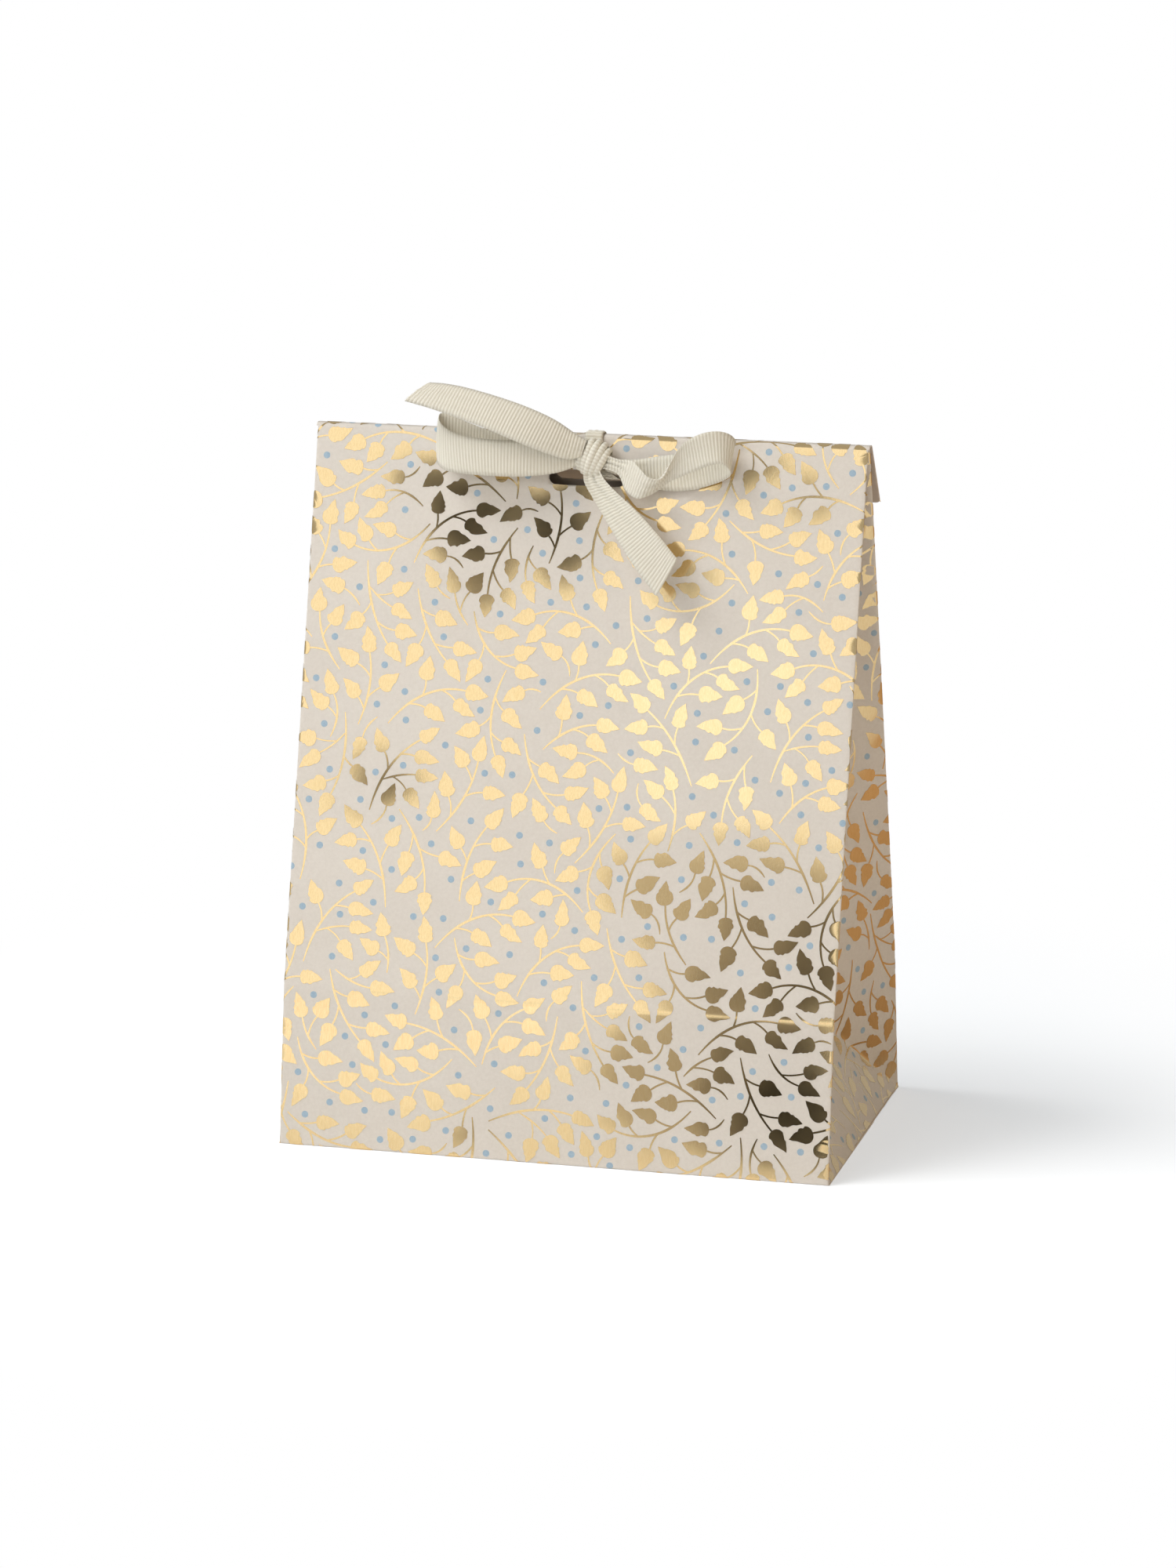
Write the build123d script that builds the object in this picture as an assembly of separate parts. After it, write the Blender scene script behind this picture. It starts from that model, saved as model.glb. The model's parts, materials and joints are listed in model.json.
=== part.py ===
from build123d import *
import math
import os

# Paper gift bag standing on its flat base, tied shut with a ribbon bow.
# Frame: origin at the centre of the base on the floor, +X to the bag's right, +Y to its back, +Z up.
# All sizes are in millimetres.

# Bag
bag_width = 180.0            # across the front and back walls
base_depth = 108.0           # front to back at the floor
fold_height = 224.6          # underside of the folded top above the floor
crease_height = 50.4         # the score that runs round the bag, above the floor
crease_inset = 7.2           # how far the front and back walls lean in below that score
mouth_gap = 2.4              # between the front and back walls' inner faces at the top
paper = 0.3                  # thickness of the coated paper
score_gap = 0.5              # width of the crushed line at each crease
gusset_fold = 0.7            # room between a gusset's two halves at its centre crease
back_drop = 1.2              # the back wall ends this far below the folded top
gusset_drop = 4.5            # the centre crease ends this far below the folded top

# Closure flap and ribbon slots
flap_length = 25.0           # from its crease to its free edge
flap_spring = 33.4           # rest angle from hanging straight down
flap_corner = 1.5            # radius of the free corners
slot_length = 25.0
slot_height = 5.0
slot_drop = 13.8             # from the folded top to the slot's middle, along the wall

# Base
board = 1.0                  # thickness of the card that stiffens the base
board_clearance = 1.6        # between the card's edge and the walls at the floor
base_overlap = 30.0          # how far the two glued base flaps overlap
tuck_reach = 40.0            # how far each side tuck reaches under the base card
base_clearance = 0.6         # between the base flaps' edges and the walls

# Ribbon
ribbon_width = 12.0
ribbon = 0.5                 # thickness of the grosgrain
strap_width = 8.0            # the ribbon gathered where it goes over the fold and through the slots
strap_clearance = 0.25       # between the strap and the paper
knot_offset = 2.6            # knot centre, to the right of the bag's middle
knot_drop = 7.0              # knot centre below the folded top, along the wall
knot_width = 9.6
knot_length = 11.0
knot_depth = 4.4
knot_clearance = 0.15        # between the strap on the wall and the band round the knot
wrap_length = 6.0            # height of the band round the knot
wrap_clearance = 0.1
ribbon_clearance = 0.3       # between the knot's band and the loops and tails

left_loop_reach = 45.0       # from the knot to the loop's far end
left_loop_depth = 7.0        # front to rear across the loop's bulge
left_loop_tilt = -1.0        # degrees above level, seen from the front
right_loop_reach = 40.0
right_loop_depth = 9.0
right_loop_tilt = 5.0
loop_drop = 1.6              # the loops leave the knot this far below its centre
loop_wall = 0.6
loop_lift = 1.6              # from the wall to the rear of the loops
tail_wall = 0.6
tail_neck = 7.0              # width of a tail where it leaves the knot
left_tail_length = 55.0
left_tail_angle = 163.5      # direction in the front wall's plane, from +X
left_tail_tilt = 10.0        # degrees that it rises out of the wall's plane
left_tail_cut = -5.0         # the upper edge ends this much short of the lower edge
left_tail_rise = 2.6         # leaves the knot this far above its centre
right_tail_length = 44.0
right_tail_angle = -49.5
right_tail_tilt = 8.0
right_tail_cut = 5.5         # the right edge ends this much short of the left edge

os.makedirs("parts", exist_ok=True)


def save(name, solid):
    solid.label = name
    export_step(solid, f"parts/{name}.step")


# Front wall, seen as a straight line from its bottom edge to the score and on to the folded top.
half_width = bag_width / 2
half_depth = base_depth / 2
half_mouth = mouth_gap / 2
score_y = half_depth - crease_inset
rise = fold_height - crease_height
wall_lean = math.atan2(score_y - half_mouth, rise)
wall_length = math.hypot(score_y - half_mouth, rise)

# Each gusset's base triangle has 45 degree folds, so its height equals half the base depth.
# The apex is where the triangle, the score and the centre crease stay their true lengths.
apex_z = (crease_height**2 + score_y**2 - crease_inset**2) / (2 * crease_height)
apex_in = math.sqrt(half_depth**2 - apex_z**2)


def cross(a, b):
    return Vector(a).cross(Vector(b)).normalized()


def flat_plane(corners, outside):
    """A plane on the corners, whose normal points to the outside of the bag."""
    first, second, third = (Vector(*c) for c in corners[:3])
    normal = cross(second - first, third - first)
    if normal.dot(Vector(*outside)) < 0:
        normal = normal * -1
    return Plane(origin=first, x_dir=(second - first).normalized(), z_dir=normal)


def panel(corners, outside):
    """A flat sheet of paper whose inner face lies on the corners, clear of the creases round it."""
    plane = flat_plane(corners, outside)
    outline = [plane.to_local_coords(Vector(*c)) for c in corners]
    sheet = make_face(Polyline(*outline, close=True))
    sheet = offset(sheet, amount=-score_gap / 2, kind=Kind.INTERSECTION)
    return plane * extrude(sheet, amount=paper, dir=(0, 0, 1))


def mirror_y(solid):
    return mirror(solid, about=Plane.XZ)


def mirror_x(solid):
    return mirror(solid, about=Plane.YZ)


# The front wall's outer face, with its origin in the middle of the folded top, X along the fold,
# Y up the wall and Z out of the wall.
up_wall = Vector(0, math.sin(wall_lean), math.cos(wall_lean))
out_of_wall = Vector(0, -math.cos(wall_lean), math.sin(wall_lean))
fold_front = Vector(0, -half_mouth, fold_height) + out_of_wall * paper
front_face = Plane(origin=fold_front, x_dir=(1, 0, 0), z_dir=out_of_wall)


def slot_cutter(depth):
    """The die-cut slot's shape, centred on the origin and cutting both ways."""
    return extrude(SlotOverall(slot_length, slot_height), amount=depth, both=True)


# Front and back walls
front_low_corners = [
    (-half_width, -half_depth, 0),
    (half_width, -half_depth, 0),
    (half_width, -score_y, crease_height),
    (-half_width, -score_y, crease_height),
]
front_top_corners = [
    (-half_width, -score_y, crease_height),
    (half_width, -score_y, crease_height),
    (half_width, -half_mouth, fold_height),
    (-half_width, -half_mouth, fold_height),
]
front_low = panel(front_low_corners, (0, -1, 0))
front_top = panel(front_top_corners, (0, -1, 0))
front_top -= front_face * Pos(0, -slot_drop, 0) * slot_cutter(2)
back_low = mirror_y(front_low)
back_trim = Pos(0, 0, fold_height) * Box(2 * bag_width, base_depth, 2 * back_drop)
back_top = mirror_y(front_top) - back_trim
save("front_wall_lower", front_low)
save("front_wall_upper", front_top)
save("back_wall_lower", back_low)
save("back_wall_upper", back_top)

# Gussets: a base triangle and, on each side of the centre crease, three flat facets that stand for
# the twisted half panel.
half_fold = gusset_fold / 2
corner = (half_width, -half_depth, 0)
corner_score = (half_width, -score_y, crease_height)
apex = (half_width - apex_in, -half_fold, apex_z)
gusset_top = fold_height - back_drop
top_slide = (fold_height - gusset_top) * math.tan(wall_lean)
corner_top = (half_width, -half_mouth - top_slide, gusset_top)
centre_top = (half_width - half_depth, -half_fold, fold_height - gusset_drop)

triangle_corners = [
    (half_width, -half_depth + paper, 0),
    (half_width, half_depth - paper, 0),
    (half_width - apex_in, 0, apex_z),
]
triangle = panel(triangle_corners, (1, 0, 1))
facets = {
    "lower": panel([corner, corner_score, apex], (1, 0.5, 0)),
    "middle": panel([corner_score, centre_top, apex], (0.5, 1, 0)),
    "upper": panel([corner_score, corner_top, centre_top], (0, 1, 0)),
}
save("gusset_triangle_right", triangle)
save("gusset_triangle_left", mirror_x(triangle))
for part_name, facet in facets.items():
    save(f"gusset_front_{part_name}_right", facet)
    save(f"gusset_front_{part_name}_left", mirror_x(facet))
    save(f"gusset_back_{part_name}_right", mirror_y(facet))
    save(f"gusset_back_{part_name}_left", mirror_y(mirror_x(facet)))

# Base: front and back flaps overlap on the floor, the side tucks lie on them, the card on the tucks.
floor_x = half_width - base_clearance
floor_y = half_depth - base_clearance
flap_depth = floor_y + base_overlap / 2


def floor_sheet(low_y, high_y, bottom):
    """A flat sheet as wide as the base, between two depths, with its underside at bottom."""
    sheet = Rectangle(2 * floor_x, high_y - low_y)
    return Pos(0, (low_y + high_y) / 2, bottom) * extrude(sheet, amount=paper)


tuck_outline = Polyline(
    (floor_x - paper, -floor_y + base_clearance),
    (floor_x - paper, floor_y - base_clearance),
    (floor_x - tuck_reach, floor_y - tuck_reach),
    (floor_x - tuck_reach, -floor_y + tuck_reach),
    close=True,
)
tuck = Pos(0, 0, 2 * paper) * extrude(make_face(tuck_outline), amount=paper)
board_sheet = Rectangle(bag_width - 2 * board_clearance, base_depth - 2 * board_clearance)
base_board = Pos(0, 0, 3 * paper) * extrude(board_sheet, amount=board)
save("base_flap_front", floor_sheet(-floor_y, flap_depth - floor_y, 0))
save("base_flap_back", floor_sheet(floor_y - flap_depth, floor_y, paper))
save("base_tuck_right", tuck)
save("base_tuck_left", mirror_x(tuck))
save("base_board", base_board)

# Folded top: the narrow strip that bridges the front and back walls, and the flap behind it.
fold_width = mouth_gap + 2 * paper
fold_strip = Rectangle(bag_width - score_gap, fold_width)
top_fold = Pos(0, 0, fold_height) * extrude(fold_strip, amount=paper)
top_fold = fillet(top_fold.edges().filter_by(Axis.X).group_by(Axis.Z)[-1], paper * 0.8)
save("top_fold", top_fold)

hinge = Vector(0, fold_width / 2 + score_gap, fold_height + paper / 2)
spring = math.radians(flap_spring)
down_flap = Vector(0, math.sin(spring), -math.cos(spring))
out_of_flap = Vector(0, math.cos(spring), math.sin(spring))
flap_face = Plane(origin=hinge, x_dir=(-1, 0, 0), z_dir=out_of_flap)
flap_sheet = Pos(0, -(flap_length + score_gap) / 2) * Rectangle(bag_width - score_gap, flap_length - score_gap)
flap_sheet = fillet(flap_sheet.vertices().group_by(Axis.Y)[0], flap_corner)
flap = flap_face * (Pos(0, 0, -paper / 2) * extrude(flap_sheet, amount=paper))
flap -= flap_face * Pos(0, -slot_drop, 0) * slot_cutter(2)
save("closure_flap", flap)


# Ribbon strap: over the folded top, down behind the flap, back through the three slots to the knot.
def strap(points):
    """A gathered length of ribbon whose middle follows points (y, z) in the bag's centre plane."""
    side_view = Plane(origin=(knot_offset, 0, 0), x_dir=(0, 1, 0), z_dir=(1, 0, 0))
    line = Polyline(*[(y, z) for y, z in points])
    band = trace(line, line_width=ribbon)
    return side_view * extrude(band, amount=strap_width / 2, both=True)


def on_wall(up, out):
    place = fold_front + up_wall * up + out_of_wall * out
    return (place.Y, place.Z)


def on_flap(down, out):
    place = hinge + down_flap * down + out_of_flap * out
    return (place.Y, place.Z)


strap_out = strap_clearance + ribbon / 2
strap_over = fold_height + paper + strap_out
slot_y, slot_z = on_wall(-slot_drop, 0)
back_slot_y = -slot_y
strap_behind = back_slot_y + strap_out
strap_through = strap(
    [
        on_wall(-knot_drop - 0.6, strap_out),
        on_wall(-slot_drop + 1.0, strap_out),
        (slot_y, slot_z),
        (strap_behind, slot_z),
    ]
)
strap_top = strap(
    [
        on_wall(-knot_drop + 0.6, strap_out),
        on_wall(0.2, strap_out),
        (-half_mouth, strap_over),
        (half_mouth - ribbon / 2, strap_over),
    ]
)
flap_out = strap_out + paper / 2
strap_back = strap(
    [
        (half_mouth + ribbon, strap_over),
        on_flap(0.6, flap_out),
        on_flap(slot_drop - 1.2, flap_out),
        on_flap(slot_drop, 0),
        (strap_behind + ribbon + 0.1, slot_z),
    ]
)
save("strap_through", strap_through)
save("strap_top", strap_top)
save("strap_back", strap_back)

# Bow, drawn in the front wall's plane round the knot: X along the fold, Y up the wall, Z outwards.
knot_face = front_face * Pos(knot_offset, -knot_drop, 0)
knot_lift = strap_clearance + ribbon + knot_clearance + ribbon + wrap_clearance
core_sheet = RectangleRounded(knot_width, knot_depth, knot_depth * 0.4)
core = Rot(-90, 0, 0) * extrude(core_sheet, amount=knot_length / 2, both=True)
core = Pos(0, 0, knot_lift + knot_depth / 2) * core
wrap_hole = RectangleRounded(
    knot_width + 2 * wrap_clearance, knot_depth + 2 * wrap_clearance, knot_depth * 0.4 + wrap_clearance
)
wrap_grow = 2 * (wrap_clearance + ribbon)
wrap_sheet = RectangleRounded(
    knot_width + wrap_grow, knot_depth + wrap_grow, knot_depth * 0.4 + wrap_grow / 2
)
wrap = Rot(-90, 0, 0) * extrude(wrap_sheet - wrap_hole, amount=wrap_length / 2, both=True)
wrap = Pos(0, 0, knot_lift + knot_depth / 2) * wrap
save("knot_core", knot_face * core)
save("knot_wrap", knot_face * wrap)

side_reach = knot_width / 2 + wrap_grow / 2 + ribbon_clearance


def teardrop(tip, reach, front, rear):
    """A flat teardrop, pointed at (tip, 0), that reaches out along X and bulges both ways along Y."""
    width = reach - tip
    edge = Spline(
        (tip, 0),
        (tip + width * 0.55, front),
        (reach, (front - rear) * 0.3),
        (tip + width * 0.5, -rear),
        (tip, 0),
        tangents=[(1, 0.5), (-1, 0.3)],
    )
    return make_face(edge)


def loop(reach, depth, tilt, side):
    """A closed teardrop of ribbon standing on edge, its point at the knot, reaching to one side."""
    front = depth * 0.65
    rear = depth - front
    outer = teardrop(0, reach, front, rear)
    inner = teardrop(3 * loop_wall, reach - loop_wall, front - loop_wall, rear - loop_wall)
    ring = Rot(90, 0, 0) * extrude(outer - inner, amount=ribbon_width / 2, both=True)
    ring = Pos(0, 0, loop_lift + rear) * ring
    if side < 0:
        ring = mirror_x(ring)
    return knot_face * Pos(side * side_reach, -loop_drop, 0) * Rot(0, 0, side * tilt) * ring


save("loop_left", loop(left_loop_reach, left_loop_depth, left_loop_tilt, -1))
save("loop_right", loop(right_loop_reach, right_loop_depth, right_loop_tilt, 1))


def tail(length, angle, tilt, cut, start):
    """A flat ribbon end that widens from the knot, with a slanted cut, leaving in one direction."""
    outline = Polyline(
        (0, -tail_neck / 2),
        (length * 0.3, -ribbon_width / 2),
        (length + min(cut, 0), -ribbon_width / 2),
        (length - max(cut, 0), ribbon_width / 2),
        (length * 0.3, ribbon_width / 2),
        (0, tail_neck / 2),
        close=True,
    )
    sheet = extrude(make_face(outline), amount=tail_wall)
    return knot_face * Pos(*start) * Rot(0, 0, angle) * Rot(0, -tilt, 0) * sheet


knot_front = knot_lift + knot_depth + wrap_grow / 2
left_start = (-knot_width / 2, left_tail_rise, knot_front + ribbon_clearance)
neck_drop = tail_neck / 2 * math.cos(math.radians(right_tail_angle))
right_start = (0, -knot_length / 2 - ribbon_clearance - neck_drop, knot_lift + knot_depth / 2)
save("tail_left", tail(left_tail_length, left_tail_angle, left_tail_tilt, left_tail_cut, left_start))
save("tail_right", tail(right_tail_length, right_tail_angle, right_tail_tilt, right_tail_cut, right_start))
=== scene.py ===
import json
import math

import bmesh
import bpy
import numpy as np
from mathutils import Matrix, Vector


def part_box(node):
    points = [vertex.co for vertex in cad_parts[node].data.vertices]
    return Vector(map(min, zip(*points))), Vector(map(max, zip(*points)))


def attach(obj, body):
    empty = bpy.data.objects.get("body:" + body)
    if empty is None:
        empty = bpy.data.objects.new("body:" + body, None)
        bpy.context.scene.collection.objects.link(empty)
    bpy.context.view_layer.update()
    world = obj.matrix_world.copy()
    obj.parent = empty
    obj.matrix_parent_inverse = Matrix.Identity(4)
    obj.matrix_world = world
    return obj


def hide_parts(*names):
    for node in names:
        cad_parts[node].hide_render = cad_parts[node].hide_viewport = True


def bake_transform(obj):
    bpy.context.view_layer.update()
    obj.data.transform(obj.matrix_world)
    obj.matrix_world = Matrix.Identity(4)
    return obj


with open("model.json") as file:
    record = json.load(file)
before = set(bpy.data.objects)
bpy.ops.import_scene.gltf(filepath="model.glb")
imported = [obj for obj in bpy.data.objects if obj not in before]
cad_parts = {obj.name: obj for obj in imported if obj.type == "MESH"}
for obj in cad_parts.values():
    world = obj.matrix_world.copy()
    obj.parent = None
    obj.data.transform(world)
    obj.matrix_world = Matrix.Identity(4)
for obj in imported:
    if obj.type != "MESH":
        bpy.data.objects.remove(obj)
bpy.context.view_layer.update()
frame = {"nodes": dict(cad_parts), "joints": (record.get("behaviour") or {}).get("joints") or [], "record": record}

mm = 0.001
hair = 1e-6  # mm, slack when places are compared
print("frame loaded")


def mmBox(node):
    low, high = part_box(node)
    return np.array(low) / mm, np.array(high) / mm


def jointPlace(name):
    joint = next(j for j in frame["joints"] if j["name"] == name)
    return np.array(joint["pos_m"]) / mm


def openingMiddle(name):
    boxes = frame["record"]["physics"]["openings"]
    low, high = next(np.array(b["box_m"]) for b in boxes if b["name"] == name)
    return (low + high) / 2 / mm


def unit(vectors):
    return vectors / np.linalg.norm(vectors, axis=-1, keepdims=True)


def addObject(name, data):
    thing = bpy.data.objects.new(name, data)
    bpy.context.scene.collection.objects.link(thing)
    return thing


def meshFrom(name, corners, faces, *materials):
    mesh = bpy.data.meshes.new(name)
    mesh.from_pydata(corners.tolist(), [], faces)
    for material in materials:
        mesh.materials.append(material)
    mesh.polygons.foreach_set("use_smooth", [True] * len(mesh.polygons))
    return mesh


def writeUvs(mesh, name, places):
    # places has one point in millimetres for each corner of the mesh, the map is in decimetres
    loops = np.zeros(len(mesh.loops), int)
    mesh.loops.foreach_get("vertex_index", loops)
    mesh.uv_layers.new(name=name).data.foreach_set("uv", (places[loops] / 100).ravel())


# The folded sheet, in millimetres. Its outer face lies on the panels' crease lines.
sheetFold = {
    "paper": 0.3,
    "cornerInset": 0.25,  # the panels stop this short of each crease line
    "wallInset": 0.26,
    "creaseInset": 0.23,
    "apexInset": 0.2,
    "centreGap": 0.35,  # from the middle of a gusset to each half of it
    "centreDrop": 4.5,  # the gusset's middle line ends this far below the top fold
    "baseOverlap": 14.0,
    "baseTuck": 10,  # the back's base flap rises over this length to lie on the front's
    "baseGap": 0.05,
    "bodyShare": 0.45,  # how much of the top edge is meshed with the body, the rest with the flap
    "wallBow": 2.2,
    "bowTurns": (3.1, 5),
    "belly": 5.0,
    "tuckBehind": 0.78,
    "tuckEdge": 0.9,
    "tuckRise": (1.6, 0.3),
    "roundWindow": (-0.75, -0.38, 0, 0.38, 0.75),
    "flapWindow": 1.3,
    "slotHalf": (12.5, 2.5),
}
paperThick = sheetFold["paper"]
lowWall = mmBox("front_wall_lower")
highWall = mmBox("front_wall_upper")
triangleBox = mmBox("gusset_triangle_right")
flapBox = mmBox("closure_flap")
hinge = jointPlace("flap_fold")

halfWidth = lowWall[1][0] + sheetFold["cornerInset"]
halfDepth = -lowWall[0][1] - sheetFold["wallInset"]
creaseZ = (lowWall[1][2] + highWall[0][2]) / 2
creaseY = -highWall[0][1] - sheetFold["creaseInset"]
foldZ = mmBox("top_fold")[0][2]
halfMouth = mmBox("top_fold")[1][1] - paperThick
backTopZ = mmBox("back_wall_upper")[1][2]
apexX = triangleBox[0][0] - sheetFold["cornerInset"]
apexZ = triangleBox[1][2] + sheetFold["apexInset"]
centreGap = sheetFold["centreGap"]
centreTopX = halfWidth - halfDepth
centreTopZ = foldZ - sheetFold["centreDrop"]
flapLength = math.dist((hinge[1], hinge[2]), (flapBox[1][1], flapBox[0][2]))
flapSpring = math.atan2(flapBox[1][1] - hinge[1], hinge[2] - flapBox[0][2])

wallWidth = 2 * halfWidth
gussetWidth = 2 * halfDepth
roundSheet = 2 * (wallWidth + gussetWidth)
cornerAt = [0, wallWidth, wallWidth + gussetWidth, 2 * wallWidth + gussetWidth]
lowLength = math.hypot(halfDepth - creaseY, creaseZ)
highLength = math.hypot(creaseY - halfMouth, foldZ - creaseZ)
wallLength = lowLength + highLength
foldOver = math.dist((-halfMouth, foldZ), (hinge[1], hinge[2]))
flapStart = wallLength + foldOver
sheetTop = flapStart + flapLength
bodyTop = wallLength + foldOver * sheetFold["bodyShare"]
backLength = lowLength + (backTopZ - creaseZ) * highLength / (foldZ - creaseZ)
centreLength = halfDepth + math.dist((apexX, apexZ), (centreTopX, centreTopZ))
baseReach = halfDepth + sheetFold["baseOverlap"]

slotRise = openingMiddle("ribbon_slots")[2]
slotDrop = (foldZ - slotRise) * highLength / (foldZ - creaseZ)
slotHalf = sheetFold["slotHalf"]
slotStraight = slotHalf[0] - slotHalf[1]
slotU, slotS = halfWidth, wallLength - slotDrop
backSlotU = cornerAt[2] + halfWidth
flapSlotS = flapStart + slotDrop
slotSpots = ((slotU, slotS), (backSlotU, slotS), (slotU, flapSlotS))

lean = math.atan2(creaseY - halfMouth, foldZ - creaseZ)
upWall = np.array([0, math.sin(lean), math.cos(lean)])
outWall = np.array([0, -math.cos(lean), math.sin(lean)])
foldFront = np.array([0, -halfMouth, foldZ])


def onWall(x, up, out):
    return foldFront + np.array([x, 0, 0]) + upWall * up + outWall * out


# Where a point of the flat sheet goes. u runs round the bag from its front left corner, s up the wall.
def frontPoint(x, s, flap=True):
    lowPart = np.clip(s, 0, lowLength) / lowLength
    highPart = np.maximum(s - lowLength, 0)
    if flap:
        highPart = np.minimum(highPart, highLength)
    highPart = highPart / highLength
    y = -halfDepth + (halfDepth - creaseY) * lowPart + (creaseY - halfMouth) * highPart
    z = creaseZ * lowPart + (foldZ - creaseZ) * highPart
    under = np.minimum(s, 0)
    y = y - under
    if flap:
        across = np.clip(s - wallLength, 0, foldOver) / foldOver
        down = np.maximum(s - wallLength - foldOver, 0)
        y = y + (hinge[1] + halfMouth) * across + math.sin(flapSpring) * down
        z = z + (hinge[2] - foldZ) * across - math.cos(flapSpring) * down
    bow = np.clip(s / wallLength, 0, 1) * np.clip(1 - s / wallLength, 0, 1)
    turnAcross, turnUp = sheetFold["bowTurns"]
    wave = np.sin(turnAcross * x / halfWidth + turnUp * s / wallLength)
    y = y - sheetFold["wallBow"] * bow * (1 - (x / halfWidth) ** 2) * wave
    return np.stack([x + 0 * s, y, z], -1)


def backPoint(x, s):
    place = frontPoint(x, s, False)
    place[..., 1] *= -1
    under = np.clip(-s / sheetFold["baseTuck"], 0, 1)
    rise = paperThick + sheetFold["baseGap"]
    place[..., 2] += rise * under * under * (3 - 2 * under)
    return place


def gussetPoint(w, s):
    inner = np.minimum(w, gussetWidth - w)
    half = np.where(w < halfDepth, -1.0, 1.0)
    part = inner / halfDepth
    s = np.maximum(s, 0)
    # base triangle
    lift = s / halfDepth
    tri = np.stack([halfWidth - (halfWidth - apexX) * lift, halfDepth - inner, apexZ * lift], -1)
    # lower facet between the diagonal fold and the score line
    rest = (s - inner) / lowLength
    facet = np.stack(
        [
            halfWidth - (halfWidth - apexX) * part,
            halfDepth - inner - (halfDepth - creaseY) * rest + centreGap * part,
            apexZ * part + creaseZ * rest,
        ],
        -1,
    )
    # softly twisted panel above it
    startS = lowLength + (halfDepth - lowLength) * part
    endS = wallLength + (centreLength - wallLength) * part
    t = (s - startS) / (endS - startS)
    cornerX = halfWidth + 0 * t
    cornerY = creaseY + (halfMouth - creaseY) * t
    cornerZ = creaseZ + (foldZ - creaseZ) * t
    centreX = apexX + (centreTopX - apexX) * t
    centreZ = apexZ + (centreTopZ - apexZ) * t
    belly = sheetFold["belly"] * part * (1 - part) * np.clip(t, 0, 1) * np.clip(1 - t, 0, 1)
    # near the top the panel folds flat behind the wall, so it clears the wall's thickness
    steep, late = sheetFold["tuckRise"]
    clear = sheetFold["tuckBehind"] * np.clip(inner / sheetFold["tuckEdge"], 0, 1) * (1 - part)
    belly = belly + clear * np.clip(t * steep - late, 0, 1)
    high = np.stack(
        [
            cornerX + (centreX - cornerX) * part,
            cornerY + (centreGap - cornerY) * part - belly,
            cornerZ + (centreZ - cornerZ) * part,
        ],
        -1,
    )
    place = np.where((s > startS)[..., None], high, np.where((s > inner)[..., None], facet, tri))
    place[..., 1] = place[..., 1] * half
    return place


def rawPoint(u, s):
    u = np.mod(u, roundSheet)
    front = frontPoint(u - halfWidth, s, False)
    back = backPoint(halfWidth - (u - cornerAt[2]), s)
    right = gussetPoint(np.clip(u - cornerAt[1], 0, gussetWidth), s)
    left = gussetPoint(np.clip(u - cornerAt[3], 0, gussetWidth), s)
    left[..., :2] *= -1
    place = np.where((u < cornerAt[3])[..., None], back, left)
    place = np.where((u < cornerAt[2])[..., None], right, place)
    return np.where((u < cornerAt[1])[..., None], front, place)


def foldedPoint(u, s, part="round"):
    # averaging over a small window rounds every crease and leaves flat paper as it is
    u, s = np.asarray(u, float), np.asarray(s, float)
    window = sheetFold["roundWindow"]
    total = 0
    for a in window:
        for b in window:
            if part == "flap":
                place = frontPoint(u - halfWidth + a, s + sheetFold["flapWindow"] * b, True)
            elif part == "front":
                place = frontPoint(u - halfWidth + a, s + b, False)
            elif part == "back":
                place = backPoint(halfWidth - (u - cornerAt[2]) - a, s + b)
            else:
                place = rawPoint(u + a, s + b)
            total = total + place
    return total / len(window) ** 2


def sheetPlace(u, s, part="round"):
    # point and outward normal
    step = 0.05
    place = foldedPoint(u, s, part)
    alongU = foldedPoint(u + step, s, part) - foldedPoint(u - step, s, part)
    alongS = foldedPoint(u, s + step, part) - foldedPoint(u, s - step, part)
    normal = np.cross(alongU, alongS)
    normal /= np.linalg.norm(normal, axis=-1, keepdims=True) + 1e-12
    return place, normal


def partOf(u, s):
    # which way of folding holds at a point: the base and the top are not joined round the corners
    u = np.mod(u, roundSheet)
    inFront = u <= cornerAt[1] + hair
    inBack = (u >= cornerAt[2] - hair) & (u <= cornerAt[3] + hair)
    part = np.full(u.shape, 0)
    part[(s < -hair) & inFront] = 1
    part[(s < -hair) & inBack] = 2
    part[(s > backLength + hair) & inFront] = 3
    return part


def placeAll(u, s, inFlap=False):
    if inFlap:
        return sheetPlace(u, s, "flap")
    place, normal = sheetPlace(u, s)
    kinds = partOf(u, s)
    for kind, part in ((1, "front"), (2, "back"), (3, "flap")):
        chosen = kinds == kind
        if chosen.any():
            uu = np.mod(u[chosen], roundSheet)
            place[chosen], normal[chosen] = sheetPlace(uu, s[chosen], part)
    return place, normal


# Paper sheets
paperMesh = {
    "wallStep": 4.0,
    "square": 1.2,
    "highRowStep": 3.0,
    "baseRows": [-50, -35, -20, -10, -5, -2.5],
    "topRows": [-2.4, -1.6, -0.8, -0.4, 0, 0.4, 0.8],
    "foldShares": [0.6, 0.75, 0.9, 1.0, 1.1, 1.25, 1.4, 1.6],
    "creaseOffsets": [-1.1, -0.75, -0.38, 0, 0.38, 0.75, 1.1],
    "closest": 0.15,
    "slotPatch": [17.0, 6.0],
    "slotRings": 3,
    "ringEase": 0.6,
}


def spaced(start, end, step):
    return list(np.linspace(start, end, max(2, round((end - start) / step) + 1)))


def tidyLine(values, low, high):
    kept = []
    for v in sorted(values):
        if low - hair <= v <= high + hair and (not kept or v - kept[-1] > paperMesh["closest"]):
            kept.append(v)
    return kept


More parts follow.
